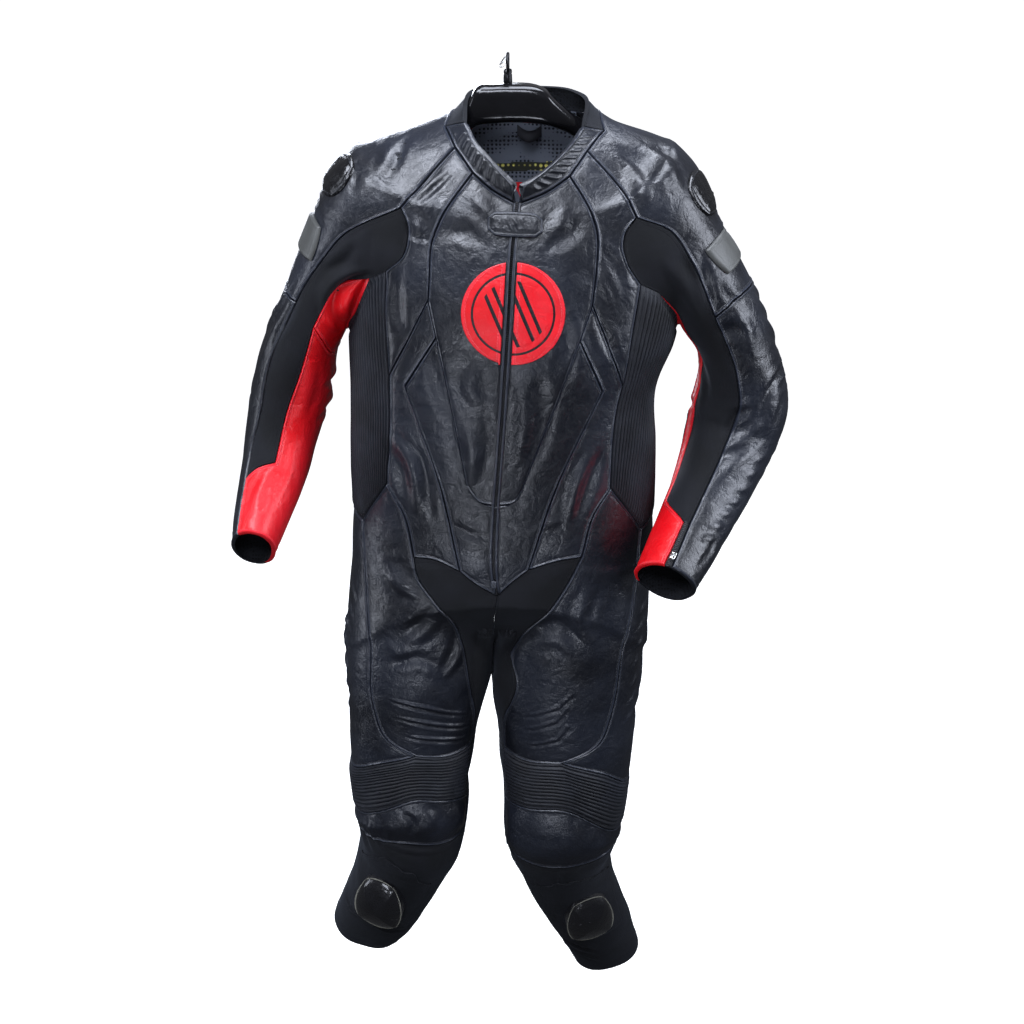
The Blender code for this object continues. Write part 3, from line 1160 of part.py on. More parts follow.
def add_hanger():
    """Plastic body whose arms bear the shoulders, and the steel hook that stands in it."""
    trees = outside(["shoulder_right", "shoulder_left", "back", "chest_right", "chest_left",
                     "collar_right", "collar_left", "collar_back"])
    turn = np.linspace(0, 2 * math.pi, 14, endpoint=False)
    rings = []
    for x, y, top, high, deep in zip(*HANGER.values()):
        ring = np.stack([np.full(14, x), y + deep * signed_power(np.cos(turn), 0.8),
                         top - high / 2 + high / 2 * signed_power(np.sin(turn), 0.8)], 1)
        upper = ring[np.sin(turn) > -0.1]
        room = [cast(p[None], UP, trees, start=0.02)[0, 2] - p[2] for p in upper]
        room = [space for space in room if space != 0]
        if room and (top < HANGER_FREE or min(room) < REST):
            ring[:, 2] += min(room) - REST
        rings.append(ring)
    add_tube("hanger", np.array(rings), "hard_plastic")
    path, radii = [], []
    for degrees in range(-65, 181, 15):
        angle = math.radians(degrees)
        path.append((-HOOK_RADIUS * math.cos(angle), HOOK_Z + HOOK_RADIUS * math.sin(angle)))
        radii.append(ROD)
    for z, radius in HOOK_FOOT:
        path.append((HOOK_RADIUS, z))
        radii.append(radius)
    path = np.array(path)
    ahead = unit(np.gradient(path, axis=0))
    ahead[-len(HOOK_FOOT):] = (0.0, -1.0)
    turn = np.linspace(0, 2 * math.pi, 10, endpoint=False)
    rings = np.zeros((len(path), 10, 3))
    rings[..., 0] = np.array(radii)[:, None] * np.cos(turn)
    side = np.array(radii)[:, None] * np.sin(turn)
    rings[..., 1] = path[:, :1] + side * -ahead[:, 1:]
    rings[..., 2] = path[:, 1:] + side * ahead[:, :1]
    add_tube("hook", rings, "steel")


# ---------------------------------------------------------------- build

MATERIALS = {}


def clear_scene():
    for item in list(bpy.data.objects):
        bpy.data.objects.remove(item, do_unlink=True)


def main():
    clear_scene()
    MATERIALS.update(
        leather=make_material("black leather", (0.012, 0.013, 0.017), 0.42),
        red_leather=make_material("red leather", (0.62, 0.008, 0.012), 0.42),
        stretch=make_material("black stretch fabric", (0.007, 0.008, 0.011), 0.85),
        zip_tape=make_material("black zip tape", (0.008, 0.008, 0.009), 0.7),
        hard_plastic=make_material("black plastic", (0.008, 0.008, 0.009), 0.18),
        grey_plastic=make_material("grey plastic", (0.10, 0.10, 0.10), 0.5),
        steel=make_material("bright steel", (0.75, 0.75, 0.74), 0.25, 1.0),
        mesh_fabric=make_material("dark mesh lining", (0.02, 0.02, 0.02), 0.9),
        black_fabric=make_material("black woven loop", (0.01, 0.01, 0.01), 0.8),
    )
    seams = {}
    for side in OUT:
        seams[side] = body_seams(side)
        sleeve_seams(side, seams[side])
        leg_seams(side, seams[side])
        add_front_panels(side, seams[side])
        add_side_ribs(side, seams[side])
        add_sleeve(side, seams[side])
        add_leg(side, seams[side])
    add_back(seams["right"], seams["left"])
    add_zip(seams["right"], seams["left"])
    add_collar(seams["right"], seams["left"])
    for side in OUT:
        add_armour(side)
        add_chest_patch(side)
        add_knee_slider(side)
    add_closure()
    add_cuff_slider()
    add_neck_lining()
    add_hanger()


main()
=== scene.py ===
# Leather race suit on its hanger: leather, stretch panels, ribs, creases, seams and hardware worked
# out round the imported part. Metres unless a comment says mm; +Z is up, the suit's front is towards -Y.
import math

import bmesh
import bpy
import numpy as np
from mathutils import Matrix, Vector


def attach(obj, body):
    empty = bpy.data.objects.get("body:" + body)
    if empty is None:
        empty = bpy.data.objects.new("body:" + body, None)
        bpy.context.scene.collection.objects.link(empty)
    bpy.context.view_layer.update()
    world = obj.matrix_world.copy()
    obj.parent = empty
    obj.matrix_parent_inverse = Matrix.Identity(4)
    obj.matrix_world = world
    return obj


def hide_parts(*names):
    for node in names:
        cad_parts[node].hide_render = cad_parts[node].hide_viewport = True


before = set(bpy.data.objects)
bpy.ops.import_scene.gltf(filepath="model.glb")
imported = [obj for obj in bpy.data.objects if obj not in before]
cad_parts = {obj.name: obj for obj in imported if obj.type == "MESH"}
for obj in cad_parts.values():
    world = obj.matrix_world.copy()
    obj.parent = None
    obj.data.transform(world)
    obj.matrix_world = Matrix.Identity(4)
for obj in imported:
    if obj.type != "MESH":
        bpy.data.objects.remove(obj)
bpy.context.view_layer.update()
print("frame loaded:", len(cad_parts), "nodes")

# Walls and gaps of the cloth, in metres.
cloth = dict(leather=0.0024, stretch=0.0020, lining=0.0012, gap=0.0003)
zipHalf = 0.006          # half the width of the slot that the front zip fills
limbPower = 2.2          # squareness of the limbs' ovals
pelvisFloor = -0.83      # where the trunk ends and the legs take over
crotchX = -0.016         # of the seam between the legs
both = ("right", "left")
outSign = {"right": -1, "left": 1}
mesh = dict(fine=12, fineQuick=5, stride=4)    # grid lines in each step of a seam; inner wall every 4th
fineSteps = mesh["fine"]
camera = dict(place=(0.0055, -2.1, 0.213), down=22, lens=55.2, sensor=36.0, frame=1024)


# Columns of a table by name; tables are in thousandths, so their lengths are in millimetres.
def table(columns, rows):
    return {name: np.array(column, float) / 1000 for name, column in zip(columns.split(), zip(*rows))}

# Level sections of the trunk: height, the two side edges, front, back and the oval's squareness.
trunkRows = table("height right left front back power", [
    (-40, -45, 85, 0, 75, 2000), (-75, -78, 122, -22, 90, 2000), (-88, -112, 142, -34, 95, 2000),
    (-107, -170, 196, -48, 100, 2000), (-127, -206, 226, -61, 104, 2000),
    (-146, -224, 243, -72, 106, 2000), (-175, -230, 250, -86, 109, 2000),
    (-220, -225, 248, -99, 112, 2100), (-270, -219, 243, -107, 114, 2200),
    (-320, -216, 236, -111, 113, 2300), (-380, -216, 225, -111, 110, 2300),
    (-440, -217, 203, -109, 106, 2300), (-520, -220, 205, -106, 101, 2300),
    (-600, -221, 207, -105, 101, 2300), (-680, -226, 208, -108, 107, 2300),
    (-740, -230, 206, -108, 111, 2200), (-800, -231, 200, -103, 109, 2200),
    (-860, -231, 196, -96, 102, 2200)])
# Limbs: points on the centre line with the half width across and the half depth there.
limbColumns = "x y z across deep"
limbRows = {
    ("sleeve", "right"): table(limbColumns, [
        (-150, 5, -165, 68, 78), (-190, 5, -215, 66, 82), (-228, 5, -275, 60, 79),
        (-259, 8, -325, 52, 75), (-281, 12, -370, 49, 71), (-297, 18, -420, 54, 68),
        (-311, 22, -475, 55, 65), (-322, 14, -520, 52, 62), (-330, -10, -560, 47, 58),
        (-340, -50, -600, 40, 54), (-352, -105, -648, 30, 52)]),
    ("sleeve", "left"): table(limbColumns, [
        (165, 5, -170, 70, 80), (210, 5, -225, 68, 84), (252, 5, -280, 62, 80),
        (290, 8, -335, 56, 75), (313, 12, -380, 53, 71), (326, 18, -430, 60, 68),
        (327, 22, -478, 68, 66), (317, 14, -522, 65, 63), (296, -20, -568, 57, 60),
        (265, -65, -613, 49, 55), (214, -150, -679, 42, 48)]),
    ("leg", "right"): table(limbColumns, [
        (-112, 3, -700, 85, 85), (-122, 3, -780, 100, 99), (-134, 3, -860, 104, 100),
        (-139, 2, -910, 101, 97), (-146, 0, -1012, 95, 91), (-151, -2, -1065, 91, 87),
        (-149, -2, -1119, 88, 83), (-151, 4, -1174, 82, 80), (-160, 22, -1216, 77, 76),
        (-184, 60, -1300, 70, 66), (-217, 115, -1396, 67, 55), (-244, 165, -1467, 60, 46)]),
    ("leg", "left"): table(limbColumns, [
        (100, 3, -700, 85, 85), (94, 3, -780, 102, 99), (91, 3, -860, 107, 100),
        (89, 2, -910, 108, 97), (87, 0, -1012, 103, 91), (88, -2, -1065, 98, 87),
        (85, -2, -1119, 93, 83), (81, 4, -1174, 89, 80), (84, 22, -1216, 78, 76),
        (102, 60, -1300, 70, 66), (132, 115, -1403, 66, 55), (170, 175, -1530, 60, 46)]),
}
# How softly the limbs run into the trunk: high above the fork, almost sharp below it.
armpitBlend = dict(top=-0.24, bottom=-0.34, high=0.045, low=0.012)
hipBlend = 0.030


# Cubic between two values with the slopes a and b there: t runs from 0 to 1.
def hermite(t, start, end, a, b):
    return ((2 * t**3 - 3 * t**2 + 1) * start + (t**3 - 2 * t**2 + t) * a
            + (3 * t**2 - 2 * t**3) * end + (t**3 - t**2) * b)


# Value of a column where the key column is `at`, on a smooth curve through the rows.
def curveAt(rows, key, name, at):
    keys, values = rows[key], rows[name]
    if keys[0] > keys[-1]:
        keys, values = keys[::-1], values[::-1]
    slope = np.gradient(values, keys)
    at = np.clip(at, keys[0], keys[-1])
    i = np.clip(np.searchsorted(keys, at) - 1, 0, len(keys) - 2)
    step = keys[i + 1] - keys[i]
    return hermite((at - keys[i]) / step, values[i], values[i + 1], step * slope[i], step * slope[i + 1])


# Vectors divided by their lengths.
def unit(vectors):
    return vectors / np.maximum(np.linalg.norm(vectors, axis=-1, keepdims=True), 1e-12)


# Distance along a line up to each of its points: the running sum of its steps.
def lengths(points):
    steps = np.linalg.norm(np.diff(points, axis=0), axis=1)
    return np.concatenate(([0.0], np.cumsum(steps)))


# Even stations along a limb, each with its centre, axes and half sizes.
def stationAxes(rows, side, count=64):
    rows = dict(rows, key=np.arange(len(rows["x"]), dtype=float))
    fine = np.linspace(0, rows["key"][-1], 400)
    path = np.stack([curveAt(rows, "key", name, fine) for name in limbColumns.split()], 1)
    run = lengths(path[:, :3])
    even = np.linspace(0, run[-1], count)
    path = np.stack([np.interp(even, run, column) for column in path.T], 1)
    down = unit(np.gradient(path[:, :3], axis=0))
    forward = np.array([0.0, -1.0, 0.0])
    front = unit(forward - down * (down @ forward)[:, None])
    out = np.cross(front, down)
    out *= np.sign(out[0, 0] * outSign[side])
    return dict(centre=path[:, :3], down=down, front=front, out=out, across=path[:, 3],
                deep=path[:, 4], step=even[1], length=run[-1])

limbRails = {key: stationAxes(rows, key[1]) for key, rows in limbRows.items()}


# Straight between the stations on either side.
def atStation(values, at):
    i = np.clip(at.astype(int), 0, len(values) - 2)
    t = (at - i) if values.ndim == 1 else (at - i)[:, None]
    return values[i] * (1 - t) + values[i + 1] * t


# Distance outside a squared oval, to first order.
def ovalDistance(across, deep, halfAcross, halfDeep, power):
    u = np.maximum(np.abs(across) / halfAcross, 1e-6)
    w = np.maximum(np.abs(deep) / halfDeep, 1e-6)
    radius = (u**power + w**power) ** (1 / power)
    slope = radius ** (1 - power) * np.hypot(u ** (power - 1) / halfAcross, w ** (power - 1) / halfDeep)
    return (radius - 1) / slope


# Distance outside a limb: from its oval at the nearest station, or from its upper end.
def limbDistance(limb, points):
    rail = limbRails[limb]
    square = (points**2).sum(1)[:, None] - 2 * points @ rail["centre"].T + (rail["centre"]**2).sum(1)
    nearest = np.argmin(square, 1)
    offset = points - rail["centre"][nearest]
    along = nearest + (offset * rail["down"][nearest]).sum(1) / rail["step"]
    at = np.clip(along, 0, len(rail["centre"]) - 1)
    offset = points - atStation(rail["centre"], at)
    side = ovalDistance((offset * atStation(rail["out"], at)).sum(1),
                        (offset * atStation(rail["front"], at)).sum(1),
                        atStation(rail["across"], at), atStation(rail["deep"], at), limbPower)
    return np.maximum(side, -along * rail["step"])


# Distance outside the trunk's ovals, or below its floor, which rises towards the front and back.
def trunkDistance(points):
    x, y, z = points.T
    right, left, front, back, power = (curveAt(trunkRows, "height", name, z)
                                       for name in ("right", "left", "front", "back", "power"))
    side = ovalDistance(x - (right + left) / 2, y - (front + back) / 2,
                        (left - right) / 2, (back - front) / 2, power)
    return np.maximum(side, pelvisFloor + 8 * y**2 - z)


# The smaller of two distances, rounded where they differ by less than reach.
def softUnion(a, b, reach):
    overlap = np.maximum(reach - np.abs(a - b), 0) / reach
    return np.minimum(a, b) - overlap**2 * reach / 4


# How far points are outside the filled-out suit, one half of it, the trunk or one limb.
def formDistance(points, sides=both):
    if sides in limbRows:
        return limbDistance(sides, points)
    t = np.clip((points[:, 2] - armpitBlend["bottom"]) / (armpitBlend["top"] - armpitBlend["bottom"]), 0, 1)
    armpit = armpitBlend["low"] + (armpitBlend["high"] - armpitBlend["low"]) * t * t * (3 - 2 * t)
    trunk = trunkDistance(points)
    halves = [] if sides else [trunk]
    for side in sides:
        half = softUnion(trunk, limbDistance(("leg", side), points), hipBlend)
        halves.append(softUnion(half, limbDistance(("sleeve", side), points), armpit))
    return np.minimum.reduce(halves)


# Direction in which the distance grows, from its change across a short step each way.
def formSlope(points, sides, step=0.0004):
    slope = np.empty_like(points)
    for axis in range(3):
        move = np.zeros(3)
        move[axis] = step
        slope[:, axis] = formDistance(points + move, sides) - formDistance(points - move, sides)
    return slope / (2 * step)


# Move points onto the form, straight along its slope.
def settle(points, sides=both, rounds=5, longest=0.02):
    shape = points.shape
    points = points.reshape(-1, 3).copy()
    for _ in range(rounds):
        slope = formSlope(points, sides)
        move = slope * (formDistance(points, sides) / np.maximum((slope**2).sum(1), 0.05))[:, None]
        size = np.linalg.norm(move, axis=1, keepdims=True)
        points -= move * np.minimum(1, longest / np.maximum(size, 1e-9))
    return points.reshape(shape)


# First point of the form along a ray, found by steps and then by halving.
def firstHit(start, direction, reach, sides=both):
    start, direction = np.array(start, float), np.array(direction, float)
    run = np.linspace(0, reach, 200)
    inside = formDistance(start + run[:, None] * direction, sides) <= 0
    far = run[np.argmax(inside)]
    near = far - run[1]
    for _ in range(18):
        middle = (near + far) / 2
        if formDistance((start + middle * direction)[None], sides)[0] <= 0:
            far = middle
        else:
            near = middle
    return start + far * direction


# Points of the form's front and back at a place given as x and z.
def front(x, z):
    return firstHit((x, -0.25, z), (0, 1, 0), 0.3)


def back(x, z):
    return firstHit((x, 0.25, z), (0, -1, 0), 0.3)


# Point of the centre seam that runs under the crotch: 0 is at the front, 90 at the bottom.
def betweenLegs(degrees):
    turn = math.radians(degrees)
    away = np.array([0, -math.cos(turn), -math.sin(turn)])
    x = crotchX - 0.006 * math.sin(turn)
    return firstHit(np.array([x, 0, -0.70]) + 0.28 * away, -away, 0.28)


# The power of the size, with the sign kept.
def signedPower(values, power):
    return np.sign(values) * np.abs(values) ** power


# Points of a limb: distance down its centre line, and angle from its front, outwards.
def onLimb(limb, along, degrees):
    rail = limbRails[limb]
    at = np.clip(np.atleast_1d(along) / rail["step"], 0, len(rail["centre"]) - 1)
    turn = np.radians(np.atleast_1d(degrees))
    across = signedPower(np.sin(turn), 2 / limbPower) * atStation(rail["across"], at)
    deep = signedPower(np.cos(turn), 2 / limbPower) * atStation(rail["deep"], at)
    return (atStation(rail["centre"], at) + across[:, None] * atStation(rail["out"], at)
            + deep[:, None] * atStation(rail["front"], at))


# The reverse of onLimb; angles lie within half a turn of `middle`.
def limbCoordinates(limb, points, middle):
    rail = limbRails[limb]
    square = ((points[:, None] - rail["centre"][None]) ** 2).sum(2)
    nearest = np.argmin(square, 1)
    offset = points - rail["centre"][nearest]
    at = nearest + (offset * rail["down"][nearest]).sum(1) / rail["step"]
    at = np.clip(at, 0, len(rail["centre"]) - 1)
    offset = points - atStation(rail["centre"], at)
    across = (offset * atStation(rail["out"], at)).sum(1) / atStation(rail["across"], at)
    deep = (offset * atStation(rail["front"], at)).sum(1) / atStation(rail["deep"], at)
    power = limbPower / 2
    degrees = np.degrees(np.arctan2(signedPower(across, power), signedPower(deep, power)))
    return at * rail["step"], middle + (degrees - middle + 180) % 360 - 180


# Many points on a smooth curve through a few.
def smoothPath(points, count=160):
    points = np.array(points, float)
    if len(points) == 2:
        return points[0] + np.linspace(0, 1, count)[:, None] * (points[1] - points[0])
    rows = {"run": lengths(points)}
    rows.update(x=points[:, 0], y=points[:, 1], z=points[:, 2])
    fine = np.linspace(0, rows["run"][-1], count)
    return np.stack([curveAt(rows, "run", axis, fine) for axis in "xyz"], 1)


# Evenly spaced points along a line.
def spaced(path, steps):
    run = lengths(path)
    even = np.linspace(0, run[-1], steps + 1)
    return np.stack([np.interp(even, run, path[:, axis]) for axis in range(3)], 1)


# A seam's corner points, evenly spaced on the form.
def seam(steps, points, sides=both):
    path = settle(smoothPath(points), sides)
    path[0], path[-1] = points[0], points[-1]
    return spaced(path, steps * fineSteps)


# Lines in a row as one, without their doubled end points.
def joined(*curves):
    parts = [curves[0]] + [curve[1:] for curve in curves[1:]]
    return np.concatenate(parts)

# Seams of the front, as (x, z) in mm seen from the front, for each side.
frontSeams = {
    "right": dict(
        neck=[(12, -175), (-20, -158), (-45, -139)], collar=[(-45, -139), (-68, -110)],
        bust=[(-45, -139), (-86, -194), (-98, -222), (-102, -270), (-104, -298)],
        bustLow=[(-104, -298), (-94, -347)], belly=[(-94, -347), (-71, -470), (-56, -557)],
        bellyEnd=[(-56, -557), (-38, -580), (-17, -584)],
        yoke=[(-68, -110), (-105, -147), (-138, -181)],
        disc=[(-138, -181), (-130, -202), (-130, -221), (-136, -242), (-160, -264)],
        chestHem=[(-104, -298), (-133, -355), (-159, -405)], chevron=[(-94, -347), (-137, -417)],
        chevronLow=[(-137, -417), (-98, -539), (-67, -682)],
        ribEdge=[(-160, -264), (-161, -354), (-159, -405)],
        ribEdgeLow=[(-159, -405), (-163, -497), (-168, -562)],
        hip=[(-168, -562), (-144, -605), (-132, -667)], waist=[(-132, -667), (-102, -668), (-67, -682)],
        waistEnd=[(-67, -682), (-40, -704), (-15, -719)]),
    "left": dict(
        neck=[(12, -175), (52, -160), (80, -143)], collar=[(80, -143), (103, -114)],
        bust=[(80, -143), (105, -182), (114, -206), (115, -260), (111, -304)],
        bustLow=[(111, -304), (94, -350)], belly=[(94, -350), (61, -447), (20, -557)],
        bellyEnd=[(20, -557), (8, -580), (-17, -584)], yoke=[(103, -114), (147, -160), (166, -193)],
        disc=[(166, -193), (153, -211), (150, -228), (156, -252), (175, -282)],
        chestHem=[(111, -304), (134, -362), (154, -420)], chevron=[(94, -350), (126, -424)],
        chevronLow=[(126, -424), (73, -542), (28, -680)],
        ribEdge=[(175, -282), (165, -350), (154, -420)],
        ribEdgeLow=[(154, -420), (145, -470), (142, -567)], hip=[(142, -567), (119, -603), (102, -664)],
        waist=[(102, -664), (74, -667), (28, -680)], waistEnd=[(28, -680), (6, -698), (-15, -719)]),
}
frontSteps = dict(neck=3, collar=3, bust=8, bustLow=2, belly=4, bellyEnd=3, yoke=3, disc=3, chestHem=3,
                  chevron=3, chevronLow=6, ribEdge=2, ribEdgeLow=4, hip=2, waist=2, waistEnd=2)

# Limb seams, as (mm down the limb, degrees outwards from its front).
sleeveLines = {
    "right": dict(
        outerTop=[(80, 14), (130, 24), (190, 31)],
        outerMid=[(190, 31), (246, 36), (339, 35), (445, 46), (494, 50)],
        outerCuff=[(494, 50), (580, 50)], innerTop=[(144, -8), (205, -8)],
        innerMid=[(205, -8), (270, -13), (352, -4), (467, -2)], jog=[(494, 50), (480, 26), (467, -2)],
        rearTop=[(155, -150), (200, -142)], rearMid=[(200, -142), (225, -140)],
        rearLow=[(225, -140), (467, -140)], rearCuff=[(467, -140), (580, -140)]),
    "left": dict(
        outerTop=[(61, 6), (109, 5), (190, -8)],
        outerMid=[(190, -8), (290, -11), (336, -8), (447, -19), (584, -29)],
        outerCuff=[(584, -29), (656, -24)], innerTop=[(150, -55), (210, -75)],
        innerMid=[(210, -75), (336, -78), (447, -86), (542, -99)], jog=[(584, -40), (542, -99)],
        rearTop=[(155, -160), (200, -152)], rearMid=[(200, -152), (230, -150)],
        rearLow=[(230, -150), (542, -150)], rearCuff=[(542, -150), (656, -150)]),
}
sleeveSteps = dict(outerTop=3, outerMid=8, outerCuff=2, innerTop=3, innerMid=7, jog=3,
                   rearTop=2, rearMid=1, rearLow=7, rearCuff=2)
legLines = {
    "right": dict(
        inner=[(161, -46), (262, -66), (292, -68)],
        side=[(57, 53), (113, 42), (217, 33), (262, 22), (290, -4)],
        rear=[(100, 125), (200, 124), (345, 124)], kneeFront=[(292, -68), (296, -36), (290, -4)],
        kneeSide=[(290, -4), (318, 30), (345, 62), (345, 124)],
        kneeBack=[(345, 124), (330, 180), (292, 240)], kneeInside=[(292, 240), (292, 292)],
        ribsLow=[(403, -80), (369, -6), (401, 49), (412, 124)],
        cupLow=[(452, -80), (449, -35), (442, 2), (446, 60), (450, 124)],
        hem=[(825, -80), (825, 0), (825, 70), (825, 124)], hemBack=[(825, 124), (825, 180), (825, 280)]),
    "left": dict(
        inner=[(172, -46), (266, -64), (304, -66)],
        side=[(60, 50), (115, 42), (220, 34), (270, 24), (302, -4)],
        rear=[(105, 125), (205, 124), (360, 124)], kneeFront=[(304, -66), (308, -36), (302, -4)],
        kneeSide=[(302, -4), (331, 30), (360, 62), (360, 124)],
        kneeBack=[(360, 124), (345, 180), (304, 240)], kneeInside=[(304, 240), (304, 294)],
        ribsLow=[(404, -80), (387, 2), (428, 52), (438, 124)],
        cupLow=[(484, -80), (478, -40), (477, -12), (470, 50), (474, 124)],
        hem=[(881, -80), (881, 0), (881, 70), (881, 124)], hemBack=[(881, 124), (881, 180), (881, 280)]),
}
legSteps = dict(side=11, rear=11, kneeFront=4, kneeSide=5, kneeBack=4, kneeInside=4,
                ribsLow=9, cupLow=9, hem=9, hemBack=8)
# The crotch panels' front edge, as (x, z) in mm seen from the front.
crotchEdge = {
    "right": [(-132, -667), (-126, -697), (-105, -728), (-77, -766), (-63, -815)],
    "left": [(102, -664), (84, -702), (54, -750), (18, -797), (4, -840)],
}
# Side and back corners in mm: neck, armpit and hip, for each side.
cornerSpots = {
    "right": dict(
        neckSide=(-82, -12, -85), neckBack=(-58, 72, -78), stretchEnd=(-182, -72, -276),
        armpit=(-217, 10, -347), under=(-207, -40, -310), underBack=(-205, 55, -300),
        hipSide=(-208, -50, -628), rearArm=(-165, -262), hipRear=(-165, -610)),
    "left": dict(
        neckSide=(127, -12, -90), neckBack=(100, 72, -80), stretchEnd=(200, -70, -296),
        armpit=(229, 10, -350), under=(222, -40, -325), underBack=(222, 55, -305),
        hipSide=(190, -55, -640), rearArm=(175, -270), hipRear=(150, -612)),
}
neckBackSpot = (0.021, 0.092, -0.080)
backCentreX = -0.010
hipBackZ = -0.680
crotchLow = 95         # degrees round the crotch of its lowest point

# Rings and cross seams of the sleeves, in the same terms as the sleeve's long seams.
sleeveRings = {
    "right": dict(
        cross=(6, [(190, 31), (193, 90), (196, 150), (200, 218)]),
        redCross=(8, [(205, -8), (244, -60), (249, -100), (225, -140)]),
        ring=(8, [(467, -2), (467, -70), (467, -140)]),
        cuff=(6, [(580, 50), (580, 90), (580, 150), (580, 220)]),
        cuffRed=(11, [(580, 50), (580, 0), (580, -60), (580, -100), (580, -140)])),
    "left": dict(
        cross=(6, [(190, -8), (186, 20), (196, 86), (198, 150), (200, 208)]),
        redCross=(8, [(210, -75), (243, -110), (230, -150)]), ring=(8, [(542, -99), (542, -150)]),
        cuff=(6, [(656, -24), (656, 30), (656, 90), (656, 150), (656, 210)]),
        cuffRed=(10, [(656, -38), (656, -90), (656, -150)])),
}
# The strip behind the left cuff's zip, between the leather and the red cuff.
gussetLines = dict(gussetTop=(1, [(584, -29), (584, -40)]), gussetEdge=(2, [(584, -40), (656, -38)]),
                   gussetLow=(1, [(656, -24), (656, -38)]))
# The collar's upper edge in mm, from the front to the sides and on to the middle of the back.
collarTop = {
    "right": [(8, -97, -148), (-10, -87, -130), (-38, -70, -104), (-56, -42, -78)],
    "left": [(18, -97, -150), (50, -78, -130), (80, -56, -104), (98, -36, -84)],
}
collarTopBack = {
    "right": [(-56, -42, -78), (-54, 15, -50), (-34, 58, -45), (21, 80, -45)],
    "left": [(98, -36, -84), (104, 15, -56), (82, 58, -48), (21, 80, -45)],
}
# The front zip's middle, as (x, z) in mm: down to the belly's point, and on to the crotch.
zipLine = [(12, -175), (6, -230), (0, -334), (-11, -503), (-17, -584)]
zipLineLow = [(-17, -584), (-19, -688), (-15, -719)]
# Shoulder caps and arm plates: mm down the sleeve, degrees from its front, turn in the plane.
armourSpots = {
    "right": dict(cap=(32, 68, 0), plate=(112, 62, 0)),
    "left": dict(cap=(58, 70, 0), plate=(132, 50, 0)),
}
patchCentre = (0.007, -0.3135)     # of the chest's round piece, x and z in metres
patchRadius = 0.068
tabCentre = (0.0095, -0.093, -0.200)
zipStopSpot = (-0.020, -0.700)
flapWall = 0.0016                  # thickness of the hook-and-loop flaps
# Knee sliders: the flap's upper edge by angle and its lowest distance, in metres; the puck as above.
kneeSliders = {
    "right": dict(edgeDegrees=[-30, 0, 29, 60], edge=[0.512, 0.481, 0.467, 0.497], low=0.690,
                  puck=(575, 15, -14)),
    "left": dict(edgeDegrees=[-30, 6, 30, 60], edge=[0.520, 0.499, 0.512, 0.543], low=0.740,
                 puck=(622, 12, 12)),
}
cuffSliderSpot = (640, -30, 0)
# Hanger: its body's middle in y, height and half depth along x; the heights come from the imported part.
hangerRows = table("x y high deep", [
    (-192, 22, 20, 16), (-184, 21, 28, 22), (-165, 18, 30, 23), (-145, 16, 30, 22), (-125, 14, 29, 20),
    (-105, 13, 28, 18), (-88, 14, 27, 16), (-80, 14, 27, 15), (-72, 14, 28, 15), (-62, 13, 31, 17),
    (-52, 12, 40, 20), (-40, 12, 50, 22), (-20, 12, 50, 22), (5, 12, 49, 22), (30, 12, 49, 22),
    (48, 12, 45, 22), (62, 12, 36, 20), (78, 12, 30, 18), (96, 12, 28, 17), (112, 12, 28, 17),
    (130, 14, 28, 18), (150, 16, 30, 20), (170, 18, 30, 22), (192, 21, 28, 22), (200, 22, 20, 16)])
rod = 0.0023              # radius of the hook's rod
hookRadius = 0.0118       # of the hook's bend, to the middle of the rod
hookZ = -0.0095           # height of the bend's centre


# Points of a limb from pairs of mm down it and degrees from its front, and a seam through them.
def limbPath(limb, pairs):
    along, degrees = np.array(pairs, float).T
    return list(onLimb(limb, along / 1000, degrees))


def limbSeam(limb, steps, pairs):
    one = (limb[1],)
    return seam(steps, list(settle(np.array(limbPath(limb, pairs)), one)), one)


# The same polyline with its first point moved along the first step.
def shortened(curve, cut):
    curve = curve.copy()
    curve[0] += cut * unit(curve[1] - curve[0])
    return curve


